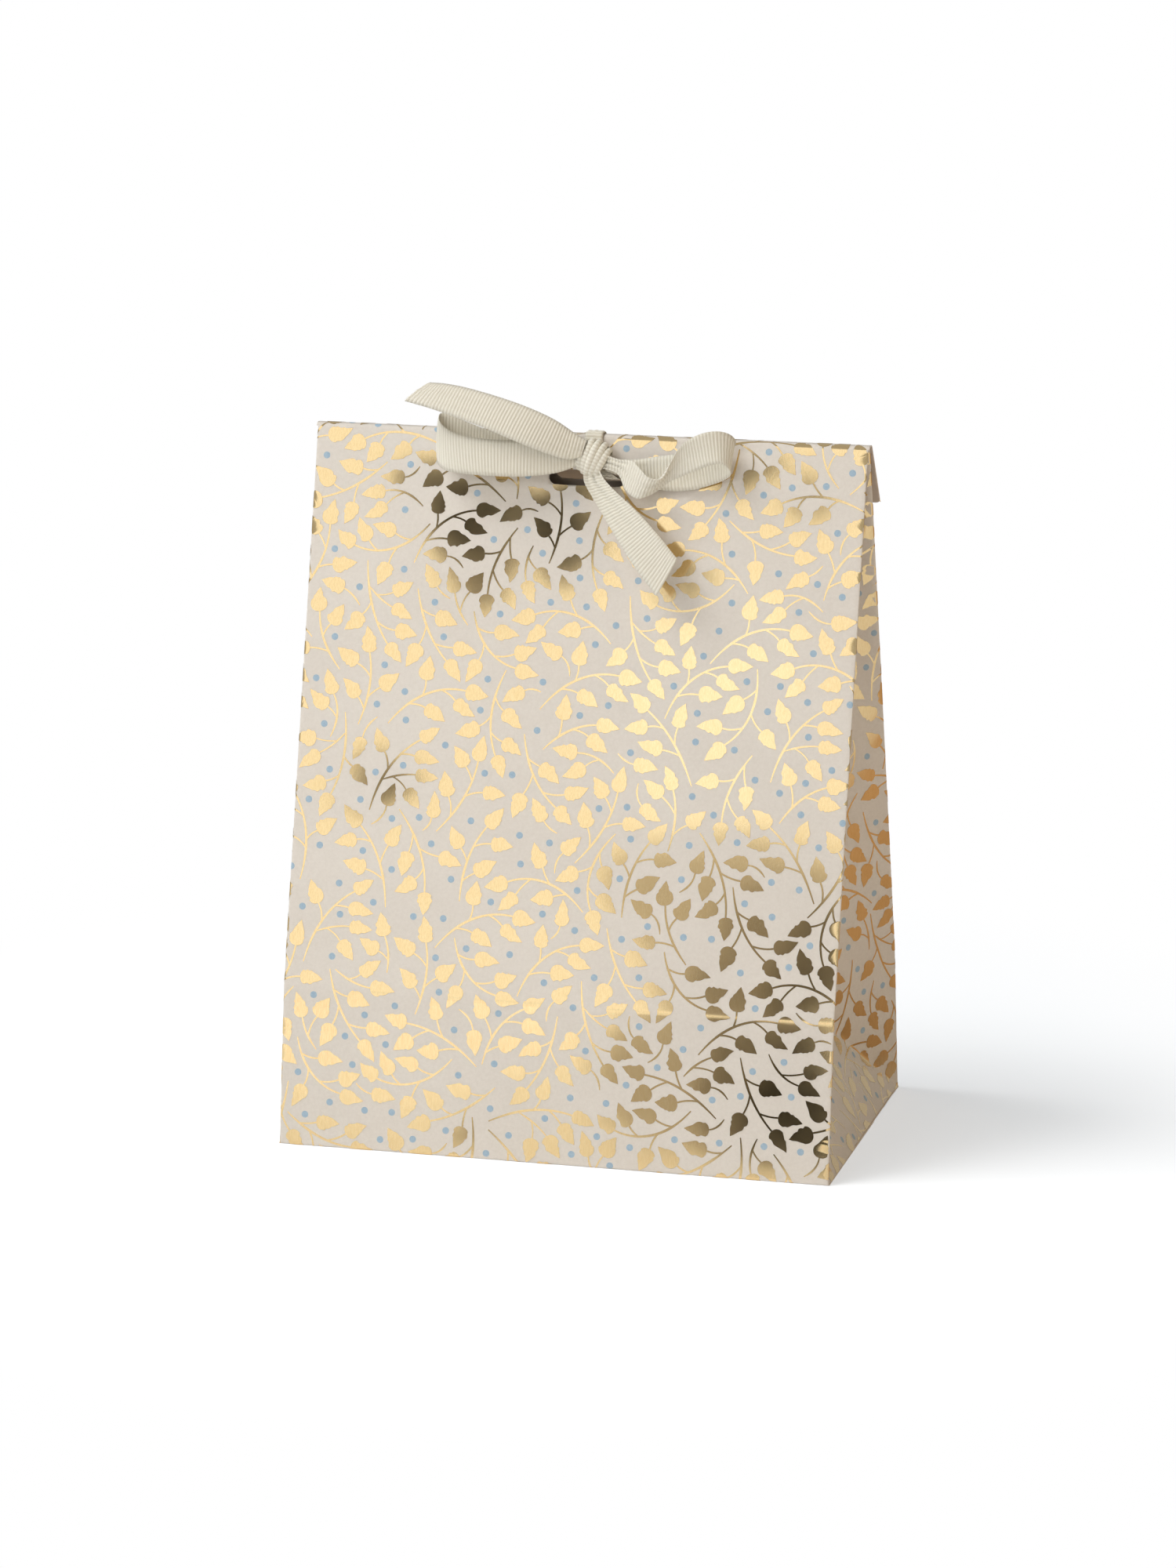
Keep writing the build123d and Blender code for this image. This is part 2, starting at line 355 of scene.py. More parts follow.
patchX, patchS = paperMesh["slotPatch"]
squares = round(halfDepth / paperMesh["square"])
halfSteps = [halfDepth * k / squares for k in range(squares + 1)]
nearFold = [d for d in paperMesh["creaseOffsets"] if abs(d) < 1]


def sheetColumns():
    lines = []
    for i, (start, end) in enumerate(zip(cornerAt, cornerAt[1:] + [roundSheet])):
        lines += [(start + d) % roundSheet for d in nearFold]
        if i % 2:
            lines += [start + v for v in halfSteps] + [end - v for v in halfSteps]
            lines += [(start + end) / 2 + d for d in nearFold]
        else:
            lines += spaced(start + 2, end - 2, paperMesh["wallStep"]) + [start, end % roundSheet]
    lines += [middle + side * patchX for middle in (slotU, backSlotU) for side in (-1, 1)]
    return tidyLine(lines, 0, roundSheet - 0.2)


def sheetRows():
    lines = [-baseReach] + paperMesh["baseRows"] + nearFold + halfSteps
    lines += [lowLength + d for d in paperMesh["creaseOffsets"]]
    lines += spaced(halfDepth + 2, wallLength - 4, paperMesh["highRowStep"])
    lines += [slotS - patchS, slotS + patchS, backLength]
    lines += [wallLength + d for d in paperMesh["topRows"]] + [bodyTop]
    return tidyLine(lines, -baseReach, bodyTop)


columns = sheetColumns()
columnEnds = columns[1:] + [roundSheet]
rows = sheetRows()
foldRows = [bodyTop] + [wallLength + foldOver * k for k in paperMesh["foldShares"]]


def openRim(faces):
    # the edges that only one face uses
    edges = dict.fromkeys((a, b) for f in faces for a, b in zip(f, f[1:] + f[:1]))
    return [(a, b) for a, b in edges if (b, a) not in edges]


def cutSlot(flat, faces, hole):
    # swaps the faces round a slot for rings that close in on its edge
    def inside(f):
        u, s = (sum(flat[i][k] for i in f) / len(f) for k in (0, 1))
        return hole[0] - patchX < u < hole[0] + patchX and hole[1] - patchS < s < hole[1] + patchS

    kept = [f for f in faces if not inside(f)]
    rim = dict(openRim([f for f in faces if inside(f)]))
    loop = [next(iter(rim))]
    while rim[loop[-1]] != loop[0]:
        loop.append(rim[loop[-1]])
    rings = [loop]
    for k in range(1, paperMesh["slotRings"] + 1):
        ring = []
        for i in loop:
            p = np.array(flat[i]) - hole
            spine = np.array([np.clip(p[0], -slotStraight, slotStraight), 0])
            target = spine + unit(p - spine) * slotHalf[1]
            part = (k / paperMesh["slotRings"]) ** paperMesh["ringEase"]
            ring.append(len(flat))
            flat.append(tuple(np.array(hole) + p + (target - p) * part))
        rings.append(ring)
    for outer, inner in zip(rings, rings[1:]):
        for i in range(len(loop)):
            j = (i + 1) % len(loop)
            kept.append((outer[i], outer[j], inner[j], inner[i]))
    return kept


def sheetMesh(name, flat, faces, holes, inFlap):
    # flat is one (u, s) for each corner; holes are open slots, each given by its centre
    flat = [tuple(p) for p in flat]
    for hole in holes:
        faces = cutSlot(flat, faces, hole)
    used = sorted({i for f in faces for i in f})
    index = {old: new for new, old in enumerate(used)}
    flat = np.array([flat[i] for i in used])
    faces = [tuple(index[i] for i in f) for f in faces]
    place, normal = placeAll(flat[:, 0], flat[:, 1], inFlap)
    count = len(flat)
    rim = openRim(faces)
    allFaces = list(faces)
    allFaces += [tuple(reversed([i + count for i in f])) for f in faces]
    allFaces += [(b, a, a + count, b + count) for a, b in rim]
    corners = np.concatenate([place, place - normal * paperThick]) * mm
    mesh = meshFrom(name, corners, allFaces, printedPaper, barePaper, cutPaper)
    kinds = [0] * len(faces) + [1] * len(faces) + [2] * len(rim)
    mesh.polygons.foreach_set("material_index", kinds)
    mesh.polygons.foreach_set("use_smooth", [k < 2 for k in kinds])
    writeUvs(mesh, "flatSheet", np.concatenate([flat, flat]))
    mesh.update()
    return addObject(name, mesh)


# Materials
def newMaterial(name):
    material = bpy.data.materials.new(name)
    material.use_nodes = True
    nodes = material.node_tree.nodes
    return material, nodes, material.node_tree.links, nodes["Principled BSDF"]


def setInputs(node, values):
    for socket, value in values.items():
        node.inputs[socket].default_value = value
    return node


def addNode(nodes, kind, inputs=None, **settings):
    node = nodes.new(kind)
    for key, value in settings.items():
        setattr(node, key, value)
    return setInputs(node, inputs or {})


def wire(links, *wires):
    # each wire is a node, its output, the next node and its input
    for start, output, end, into in wires:
        links.new(start.outputs[output], end.inputs[into])


def newGroup(name, inputs, outputs):
    group = bpy.data.node_groups.new(name, "ShaderNodeTree")
    for way, sockets in (("INPUT", inputs), ("OUTPUT", outputs)):
        for socket in sockets:
            group.interface.new_socket(socket, in_out=way, socket_type="NodeSocketFloat")
    nodes = group.nodes
    return group, nodes, nodes.new("NodeGroupInput"), nodes.new("NodeGroupOutput")


def linear(r, g, b):
    def one(c):
        c /= 255
        return c / 12.92 if c <= 0.04045 else ((c + 0.055) / 1.055) ** 2.4

    return (one(r), one(g), one(b), 1)


def ramp(nodes, stops):
    node = nodes.new("ShaderNodeValToRGB")
    while len(node.color_ramp.elements) < len(stops):
        node.color_ramp.elements.new(0.5)
    for element, (at, colour) in zip(node.color_ramp.elements, stops):
        element.position = at
        element.color = colour
    return node


def buildFibreGroup():
    # fine paper fibre: a tone mask and a height
    group, nodes, start, end = newGroup("paperFibre", ["Scale"], ["Tone", "Height"])
    place = nodes.new("ShaderNodeTexCoord")
    fine = addNode(nodes, "ShaderNodeTexNoise", {"Detail": 6.0, "Roughness": 0.65})
    broad = addNode(nodes, "ShaderNodeTexNoise", {"Scale": 28.0, "Detail": 3.0})
    mix = addNode(nodes, "ShaderNodeMath", {1: 0.6}, operation="MULTIPLY_ADD")
    wire(
        group.links,
        (place, "Object", fine, "Vector"),
        (place, "Object", broad, "Vector"),
        (start, "Scale", fine, "Scale"),
        (broad, "Fac", mix, 0),
        (fine, "Fac", mix, 2),
        (mix, 0, end, "Tone"),
        (fine, "Fac", end, "Height"),
    )
    return group


fibreGroup = buildFibreGroup()


def paperMaterial(name, dark, light, roughness, scale, bump, coat=0.0):
    material, nodes, links, shader = newMaterial(name)
    fibre = addNode(nodes, "ShaderNodeGroup", {"Scale": scale}, node_tree=fibreGroup)
    tone = ramp(nodes, [(0.45, dark), (1.0, light)])
    lift = addNode(nodes, "ShaderNodeBump", {"Strength": bump, "Distance": 0.0001})
    setInputs(shader, {"Roughness": roughness, "Coat Weight": coat, "Coat Roughness": 0.35})
    wire(
        links,
        (fibre, "Tone", tone, "Fac"),
        (tone, "Color", shader, "Base Color"),
        (fibre, "Height", lift, "Height"),
        (lift, "Normal", shader, "Normal"),
    )
    return material


coated = (0.5, 900, 0.12, 0.15)
printedPaper = paperMaterial("printedPaper", linear(222, 214, 203), linear(232, 225, 215), *coated)
barePaper = paperMaterial("barePaper", linear(206, 190, 174), linear(216, 200, 184), 0.75, 700, 0.3)
cutPaper = paperMaterial("cutPaperEdge", linear(225, 218, 208), linear(238, 232, 224), 0.8, 1200, 0.3)
boardMaterial = paperMaterial("greyBoard", linear(150, 138, 122), linear(172, 160, 143), 0.85, 500, 0.5)

foilLook = {"streak": 2600.0, "stretch": 0.06, "broad": 60.0, "roughness": (0.1, 0.17), "bump": 0.1}


def foilMaterial(name, low, high):
    # hot foil: fine upright streaks and a slow change of gloss
    material, nodes, links, shader = newMaterial(name)
    place = nodes.new("ShaderNodeTexCoord")
    stretch = addNode(nodes, "ShaderNodeMapping", {"Scale": (1.0, 1.0, foilLook["stretch"])})
    grain = {"Scale": foilLook["streak"], "Detail": 4.0, "Roughness": 0.7}
    streak = addNode(nodes, "ShaderNodeTexNoise", grain)
    broad = addNode(nodes, "ShaderNodeTexNoise", {"Scale": foilLook["broad"], "Detail": 2.0})
    tone = ramp(nodes, [(0.3, low), (0.75, high)])
    smooth, matt = foilLook["roughness"]
    rough = addNode(nodes, "ShaderNodeMapRange", {"To Min": smooth, "To Max": matt})
    lift = addNode(nodes, "ShaderNodeBump", {"Strength": foilLook["bump"], "Distance": 0.00004})
    setInputs(shader, {"Metallic": 1.0})
    wire(
        links,
        (place, "Object", stretch, "Vector"),
        (stretch, "Vector", streak, "Vector"),
        (place, "Object", broad, "Vector"),
        (streak, "Fac", tone, "Fac"),
        (tone, "Color", shader, "Base Color"),
        (broad, "Fac", rough, "Value"),
        (rough, "Result", shader, "Roughness"),
        (streak, "Fac", lift, "Height"),
        (lift, "Normal", shader, "Normal"),
    )
    return material


goldFoil = foilMaterial("goldFoil", linear(241, 211, 155), linear(251, 227, 178))


def inkMaterial(name, low, high):
    material, nodes, links, shader = newMaterial(name)
    place = nodes.new("ShaderNodeTexCoord")
    grain = addNode(nodes, "ShaderNodeTexNoise", {"Scale": 1800.0, "Detail": 3.0})
    tone = ramp(nodes, [(0.35, low), (0.7, high)])
    setInputs(shader, {"Roughness": 0.5})
    wire(
        links,
        (place, "Object", grain, "Vector"),
        (grain, "Fac", tone, "Fac"),
        (tone, "Color", shader, "Base Color"),
    )
    return material


blueInk = inkMaterial("paleBlueInk", linear(160, 186, 206), linear(178, 200, 214))


def buildRibShadeGroup():
    # grosgrain: painted shade in the grooves between the ribs, and fine threads along the ribbon
    group, nodes, start, end = newGroup("grosgrainRibShadeAndThreads", ["Ribs per Unit"], ["Tone", "Height"])
    uv = addNode(nodes, "ShaderNodeUVMap", uv_map="ribbonLength")
    parts = nodes.new("ShaderNodeSeparateXYZ")
    count = addNode(nodes, "ShaderNodeMath", operation="MULTIPLY")
    turn = addNode(nodes, "ShaderNodeMath", {1: 2 * math.pi}, operation="MULTIPLY")
    # the rib wave paints shade into the grooves between the ribs
    wave = addNode(nodes, "ShaderNodeMath", operation="COSINE")
    threads = addNode(nodes, "ShaderNodeTexNoise", {"Scale": 900.0, "Detail": 3.0})
    mix = addNode(nodes, "ShaderNodeMath", {1: 0.2}, operation="MULTIPLY_ADD")
    wire(
        group.links,
        (uv, "UV", parts, "Vector"),
        (uv, "UV", threads, "Vector"),
        (parts, "X", count, 0),
        (start, "Ribs per Unit", count, 1),
        (count, 0, turn, 0),
        (turn, 0, wave, 0),
        (wave, 0, mix, 0),
        (threads, "Fac", mix, 2),
        (mix, 0, end, "Tone"),
        (threads, "Fac", end, "Height"),
    )
    return group


ribbonSpec = {"step": 0.21, "pitch": 1.05, "rib": 0.085, "thick": 0.36, "across": 8, "width": 12.5}


def ribbonMaterial(name, low, high):
    material, nodes, links, shader = newMaterial(name)
    pitch = {"Ribs per Unit": 100 / ribbonSpec["pitch"]}
    ribs = addNode(nodes, "ShaderNodeGroup", pitch, node_tree=buildRibShadeGroup())
    # the darker colour paints the shade in the rib grooves, mixed with thread tone
    tone = ramp(nodes, [(0.18, low), (0.62, high)])
    lift = addNode(nodes, "ShaderNodeBump", {"Strength": 0.3, "Distance": 0.00008})
    setInputs(shader, {"Roughness": 0.6, "Sheen Weight": 0.2, "Sheen Roughness": 0.4})
    wire(
        links,
        (ribs, "Tone", tone, "Fac"),
        (tone, "Color", shader, "Base Color"),
        (ribs, "Height", lift, "Height"),
        (lift, "Normal", shader, "Normal"),
    )
    return material


# the darker cream is painted shade for the rib grooves
grosgrain = ribbonMaterial("creamGrosgrain", linear(214, 207, 188), linear(240, 236, 222))
print("materials made")


def diagonalOf(left, right, low):
    # 1 or -1 where a cell is cut along a gusset's diagonal fold, 0 elsewhere
    if low > halfDepth - hair or low < -hair:
        return 0
    for start in (cornerAt[1], cornerAt[3]):
        if left >= start - hair and right <= start + gussetWidth + hair:
            return 1 if right <= start + halfDepth + hair else -1
    return 0


def makeBody():
    wide = len(columns)
    flat = [(u, s) for s in rows for u in columns]
    faces = []
    for r, (low, high) in enumerate(zip(rows, rows[1:])):
        for c, (left, right) in enumerate(zip(columns, columnEnds)):
            inFront = right <= cornerAt[1] + hair
            inBack = left >= cornerAt[2] - hair and right <= cornerAt[3] + hair
            if low < -hair and not (inFront or inBack):
                continue
            if high > backLength + hair and not inFront:
                continue
            d = (c + 1) % wide  # the last column joins the first
            quad = (r * wide + c, r * wide + d, (r + 1) * wide + d, (r + 1) * wide + c)
            leaning = diagonalOf(left, right, low)
            if leaning > 0:
                faces += [quad[:3], (quad[0], quad[2], quad[3])]
            elif leaning < 0:
                faces += [(quad[0], quad[1], quad[3]), quad[1:]]
            else:
                faces.append(quad)
    piece = sheetMesh("bagSheet", flat, faces, slotSpots[:2], False)
    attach(piece, "bag")
    walls = ["front_wall_lower", "front_wall_upper", "back_wall_lower", "back_wall_upper", "top_fold"]
    for side in ("left", "right"):
        walls.append("gusset_triangle_" + side)
        for half in ("front", "back"):
            walls += [f"gusset_{half}_{level}_{side}" for level in ("lower", "middle", "upper")]
    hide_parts(*walls, "base_flap_front", "base_flap_back")
    return piece


bagSheet = makeBody()
print("bag sheet folded", len(bagSheet.data.polygons))

flapMesh = {
    "corner": 1.5,
    "step": 3.0,
    "rowStep": 1.5,
    "sideColumns": [0, 0.4, 0.8, 1.5, 3],
    "edgeRows": [0.8, 0.4, 0],
    "bendDown": 4.0,
}


def roundedCorner(u, s):
    # pulls a point in a corner of the flap's free edge back onto the rounding
    radius = flapMesh["corner"]
    du = max(radius - u, radius - (wallWidth - u), 0)
    ds = max(s - (sheetTop - radius), 0)
    far = math.hypot(du, ds)
    if du == 0 or ds == 0 or far <= radius:
        return u, s
    sign = -1 if u < radius else 1
    edge = radius if u < radius else wallWidth - radius
    return edge + sign * du * radius / far, sheetTop - radius + ds * radius / far


def makeFlap():
    cols = flapMesh["sideColumns"] + [wallWidth - d for d in flapMesh["sideColumns"]]
    cols += spaced(6, wallWidth - 6, flapMesh["step"]) + [slotU - patchX, slotU + patchX]
    cols = tidyLine(cols, 0, wallWidth)
    lines = foldRows + spaced(flapStart + 3, sheetTop - 1.5, flapMesh["rowStep"])
    lines += [flapSlotS - patchS, flapSlotS + patchS] + [sheetTop - d for d in flapMesh["edgeRows"]]
    lines = tidyLine(lines, bodyTop, sheetTop)
    flat = [roundedCorner(u, s) for s in lines for u in cols]
    n = len(cols)
    faces = []
    for r in range(len(lines) - 1):
        for c in range(n - 1):
            faces.append((r * n + c, r * n + c + 1, (r + 1) * n + c + 1, (r + 1) * n + c))
    return sheetMesh("closureFlapSheet", flat, faces, slotSpots[2:], True)


def bendFlap(piece):
    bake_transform(piece)


flapSheet = makeFlap()
bendFlap(flapSheet)
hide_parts("closure_flap")
print("flap folded")

# Foil sprigs and dots, laid out on the flat sheet
pattern = {
    "seed": 7,
    "cell": 0.9,
    "tall": 432,
    "leafLong": [7.4, 8.6],
    "leafHalf": [2.45, 2.85],
    "leafApart": 0.55,
    "stemHalf": 0.42,
    "stemApart": 0.75,
    "gap": 0.95,
    "margin": 24.0,
    "blur": 2.4,
    "upward": 0.62,
    "lean": 1.15,
    "jitter": 0.02,
    "copies": 9,
    "copyApart": 46,
    "rounds": [("full", 52), ("half", 44), ("small", 44), ("leaf", 16)],
    "dotRadius": 1.1,
    "dotSides": 14,
    "dotClear": 0.95,
    "dotApart": 8.8,
    "stemLift": 0.03,
    "stemStep": 0.004,
    "leafLift": 0.07,
    "dotLift": 0.025,
    "weldsPerMetre": 2e5,
}
# lengths in millimetres and angles in radians; stalks are counted back from a stem's far end
sprigShape = {
    "full": {
        "long": (23, 29),
        "bend": (0.5, 1.3),
        "stalks": [(6.5, 8.5), (12.5, 15)],
        "lastStalk": (18, 20.5),
        "forked": 0.6,
        "forkBack": (17.5, 20),
        "forkTurn": (0.5, 0.75),
        "forkBend": 0.4,
        "forkLong": (10, 12),
        "forkStalks": (7,),
        "forkThick": 0.8,
    },
    "half": {"long": (16, 21), "bend": (0.5, 1.3), "stalks": [(6.5, 8.5), (12.5, 14.5)]},
    "small": {"long": (11, 15), "bend": (0.5, 1.2), "stalks": [(6.5, 8.5)], "thick": 0.9},
    "leaf": {"long": (5, 9), "bend": (0.5, 1.0), "stalks": [], "thick": 0.8},
    "taper": ([0, 0.35, 1], [0.45, 1.0, 0.7]),
    "stalkTurn": (0.5, 0.72),
    "stalkBend": (0.3, 0.6),
    "stalkLong": (4.2, 7.2),
    "stalkHalf": 0.68,
    "leafTurn": 0.25,
    "endTurn": 0.15,
}
# places along a leaf are shares of its length, sizes across it shares of its half width
leafShape = {
    "rise": 0.52,
    "fall": 1.15,
    "peak": 0.354,
    "toothLong": 0.13,
    "toothDeep": (0.1, 0.24),
    "toothAt": [0.24, 0.33, 0.42, 0.5, 0.58, 0.66, 0.75],
    "stations": [0, 0.03, 0.08, 0.15, 0.24, 0.33, 0.42, 0.5, 0.58, 0.66, 0.75, 0.87, 1],
    "bend": 0.3,
    "bendFrom": 0.45,
    "bendGrows": 1.6,
    "discs": ((0.22, 0.9), (0.42, 1.0), (0.66, 0.7), (0.92, 0.2)),
}
rng = np.random.default_rng(pattern["seed"])
gridWide = round(roundSheet / pattern["cell"])
gridLow = -baseReach - pattern["margin"]


def curve(start, heading, bend, length, step=1.3):
    # a line whose heading turns steadily; returns its points and headings
    count = max(3, round(length / step) + 1)
    t = np.linspace(0, 1, count)
    headings = heading + bend * t**1.3
    points = [np.array(start, float)]
    for i in range(1, count):
        middle = (headings[i] + headings[i - 1]) / 2
        points.append(points[-1] + length / (count - 1) * np.array([math.cos(middle), math.sin(middle)]))
    return np.array(points), headings


def leafHalfWidth(t, teeth, wide):
    body = t ** leafShape["rise"] * (1 - t) ** leafShape["fall"] / leafShape["peak"]
    notch = np.zeros_like(t)
    for at, deep in teeth:
        notch += deep * np.clip(1 - (t - at) / leafShape["toothLong"], 0, 1) * (t >= at - 1e-9)
    return wide * body * np.clip(1 - notch, 0.1, 1)


def selfClear(stems, leaves):
    # no leaf of the sprig touches another leaf or a stem that isn't its own
    discs = []
    for base, heading, length, wide, _ in leaves:
        way = np.array([math.cos(heading), math.sin(heading)])
        discs.append([(base + way * length * t, wide * r) for t, r in leafShape["discs"]])
    for i, one in enumerate(discs):
        for other in discs[:i]:
            for at, radius in one:
                for place, reach in other:
                    if np.hypot(*(at - place)) < radius + reach + pattern["leafApart"]:
                        return False
        for line, _ in stems:
            if np.hypot(*(line[-1] - leaves[i][0])) < 0.01:
                continue
            for at, radius in one:
                if np.hypot(*(line - at).T).min() < radius + pattern["stemApart"]:
                    return False
    return True


def growSprig(kind):
    # one try at a sprig: stems with their half widths, and leaves
    stems, leaves = [], []
    hand = rng.choice([-1, 1])
    thick = pattern["stemHalf"]

    def leaf(at, heading):
        size = rng.uniform(*pattern["leafLong"]), rng.uniform(*pattern["leafHalf"])
        leaves.append((np.array(at), heading, size[0], size[1], rng.integers(1 << 30)))

    def branch(start, heading, bend, length, stalks, half, side):
        # stalks are the distances of its leaf stalks from its far end
        line, headings = curve(start, heading, bend, length)
        count = len(line) - 1
        taper = np.interp(np.linspace(0, 1, count + 1), *sprigShape["taper"])
        stems.append((line, half * taper))
        for back in stalks:
            i = round((1 - back / length) * count)
            angle = headings[i] + side * rng.uniform(*sprigShape["stalkTurn"])
            turn = side * rng.uniform(*sprigShape["stalkBend"])
            stalk, ends = curve(line[i], angle, turn, rng.uniform(*sprigShape["stalkLong"]), 1.0)
            stems.append((stalk, np.full(len(stalk), sprigShape["stalkHalf"] * half)))
            leaf(stalk[-1], ends[-1] - side * rng.uniform(0.0, sprigShape["leafTurn"]))
            side = -side
        leaf(line[-1], headings[-1] + rng.uniform(-sprigShape["endTurn"], sprigShape["endTurn"]))
        return line, headings

    spec = sprigShape[kind]
    if kind == "full":
        length = rng.uniform(*spec["long"])
        backs = [rng.uniform(*span) for span in spec["stalks"]]
        forked = rng.random() < spec["forked"]
        if not forked:
            backs.append(rng.uniform(*spec["lastStalk"]))
        bend = hand * rng.uniform(*spec["bend"])
        line, headings = branch((0, 0), 0, bend, length, backs, thick, hand)
        if forked:
            back = rng.uniform(*spec["forkBack"])
            i = round((1 - back / length) * (len(line) - 1))
            heading = headings[i] + hand * rng.uniform(*spec["forkTurn"])
            bend, length = hand * spec["forkBend"], rng.uniform(*spec["forkLong"])
            branch(line[i], heading, bend, length, spec["forkStalks"], spec["forkThick"] * thick, hand)
    elif kind == "half":
        backs = [rng.uniform(*span) for span in spec["stalks"]]
        bend, length = hand * rng.uniform(*spec["bend"]), rng.uniform(*spec["long"])
        branch((0, 0), 0, bend, length, backs, thick, hand)
    else:
        bend, length = hand * rng.uniform(*spec["bend"]), rng.uniform(*spec["long"])
        backs = [rng.uniform(*span) for span in spec["stalks"]]
        branch((0, 0), 0, bend, length, backs, spec["thick"] * thick, hand)
    return stems, leaves


def makeSprig(kind):
    for _ in range(60):
        sprig = growSprig(kind)
        if selfClear(*sprig):
            return sprig
    print("no clear sprig", kind)
    return growSprig("leaf")


def turned(points, angle):
    c, s = math.cos(angle), math.sin(angle)
    return points @ np.array([[c, s], [-s, c]])


def leafOutline(leaf, extra=0.0, stations=None):
    base, heading, length, wide, seed = leaf
    if stations is None:
        stations = np.array(leafShape["stations"])
    own = np.random.default_rng(seed)
    sides = []
    for _ in range(2):
        marks = own.permutation(leafShape["toothAt"])[: own.integers(2, 5)]
        teeth = [(m, own.uniform(*leafShape["toothDeep"])) for m in marks]
        sides.append(leafHalfWidth(stations, teeth, wide) + extra)
    bend = own.uniform(-leafShape["bend"], leafShape["bend"])
    along = stations * length
    late = np.clip(stations - leafShape["bendFrom"], 0, 1)
    curveOff = bend * length * late**2 * leafShape["bendGrows"]
    left = np.stack([along, curveOff + sides[0]], 1)
    right = np.stack([along, curveOff - sides[1]], 1)
    place = np.array(base)
    return turned(left, heading) + place, turned(right, heading) + place


def leftOf(line):
    # unit directions to the left of a line, one for each of its points
    return unit(np.stack([-np.gradient(line[:, 1]), np.gradient(line[:, 0])], 1))


def sprigCells(sprig, angle, extra):
    # grid cells that a sprig covers, from its own origin
    stems, leaves = sprig
    spots = []
    for leaf in leaves:
        left, right = leafOutline(leaf, extra, np.linspace(-0.03, 1.03, 15).clip(0, 1))
        for k in np.linspace(0, 1, 11):
            spots.append(left * k + right * (1 - k))
    for line, half in stems:
        reach = half.mean() + extra
        normal = leftOf(line)
        for k in (-1, -0.5, 0, 0.5, 1):
            edge = line + normal * reach * k
            spots.append(edge)
            spots.append((edge[1:] + edge[:-1]) / 2)
    spots = turned(np.concatenate(spots), angle)
    return np.unique(np.floor(spots / pattern["cell"]).astype(int), axis=0)


def cellsAway():
    # squared distance of each grid cell from the first, in cells; the grid wraps at its edges
    tall = pattern["tall"]
    up, along = np.meshgrid(np.fft.fftfreq(tall) * tall, np.fft.fftfreq(gridWide) * gridWide)
    return along**2 + up**2


def placeSprigs():
    # each sprig goes where it fits without touching and has the closest neighbours
    cell, tall = pattern["cell"], pattern["tall"]
    taken = np.zeros((gridWide, tall))
    taken[:, round((sheetTop + pattern["margin"] - gridLow) / cell) :] = 1
    blur = np.fft.rfft2(np.exp(-cellsAway() / (2 * (pattern["blur"] / cell) ** 2)))
    placed = []
    for kind, rounds in pattern["rounds"]:
        for _ in range(rounds):
            sprig = makeSprig(kind)
            upward = rng.random() < pattern["upward"]
            tilt = rng.uniform(-pattern["lean"], pattern["lean"])
            angle = (1 if upward else -1) * math.pi / 2 + tilt
            mask = np.zeros_like(taken)
            cells = sprigCells(sprig, angle, pattern["gap"])
            mask[cells[:, 0] % gridWide, cells[:, 1] % tall] = 1
            spectrum = np.conj(np.fft.rfft2(mask))
            ground = np.fft.rfft2(taken)
            clash = np.fft.irfft2(ground * spectrum, s=taken.shape)
            close = np.fft.irfft2(ground * blur * spectrum, s=taken.shape) / mask.sum()
            score = np.where(clash < 0.5, close + rng.random(taken.shape) * pattern["jitter"], -1)
            bare = sprigCells(sprig, angle, 0.0)
            for _ in range(pattern["copies"]):
                best = np.unravel_index(np.argmax(score), score.shape)
                if score[best] < 0:
                    break
                near = np.abs(np.arange(gridWide) - best[0])
                near = np.minimum(near, gridWide - near)[:, None] * cell
                far = np.abs(np.arange(tall) - best[1])[None, :] * cell
                score[np.hypot(near, far) < pattern["copyApart"]] = -1
                taken[(bare[:, 0] + best[0]) % gridWide, (bare[:, 1] + best[1]) % tall] = 1
                placed.append((sprig, angle, np.array([best[0] * cell, gridLow + best[1] * cell])))
    return placed, taken


def placeDots(taken):
    cell = pattern["cell"]
    reach = (pattern["dotRadius"] + pattern["dotClear"]) / cell
    disk = np.fft.rfft2((cellsAway() <= reach**2).astype(float))
    free = np.fft.irfft2(np.fft.rfft2(taken) * disk, s=taken.shape) < 0.5
    spots = np.argwhere(free)
    rng.shuffle(spots)
    dots = []
    for spot in spots:
        at = np.array([spot[0] * cell, gridLow + spot[1] * cell]) + cell / 2
        if dots:
            away = np.abs(np.array(dots) - at)
            away[:, 0] = np.minimum(away[:, 0], roundSheet - away[:, 0])
            if np.hypot(away[:, 0], away[:, 1]).min() < pattern["dotApart"]:
                continue
        dots.append(at)
    return np.array(dots)


def strip(left, right):
    # triangles between two lines of points
    a, b, c, d = left[:-1], right[:-1], right[1:], left[1:]
    return np.concatenate([np.stack([a, b, c], 1), np.stack([a, c, d], 1)])


def flatFoil(placed):
    pieces, lifts = [], []

    def add(tris, angle, at, lift):
        pieces.append(turned(tris.reshape(-1, 2), angle).reshape(-1, 3, 2) + at)
        lifts.append(np.full(len(tris), lift))

    for (stems, leaves), angle, at in placed:
        for order, (line, half) in enumerate(stems):
            side = leftOf(line) * half[:, None]
            lift = pattern["stemLift"] + pattern["stemStep"] * order
            add(strip(line + side, line - side), angle, at, lift)
        for leaf in leaves:
            add(strip(*leafOutline(leaf)), angle, at, pattern["leafLift"])
    return np.concatenate(pieces), np.concatenate(lifts)


def flatDots(dots):
    sides = pattern["dotSides"]
    ring = np.linspace(0, 2 * math.pi, sides + 1)
    circle = pattern["dotRadius"] * np.stack([np.cos(ring), np.sin(ring)], 1)
    tri = np.stack([np.zeros((sides, 2)), circle[:-1], circle[1:]], 1)
    tris = (dots[:, None, None, :] + tri[None]).reshape(-1, 3, 2)
    return tris, np.full(len(tris), pattern["dotLift"])


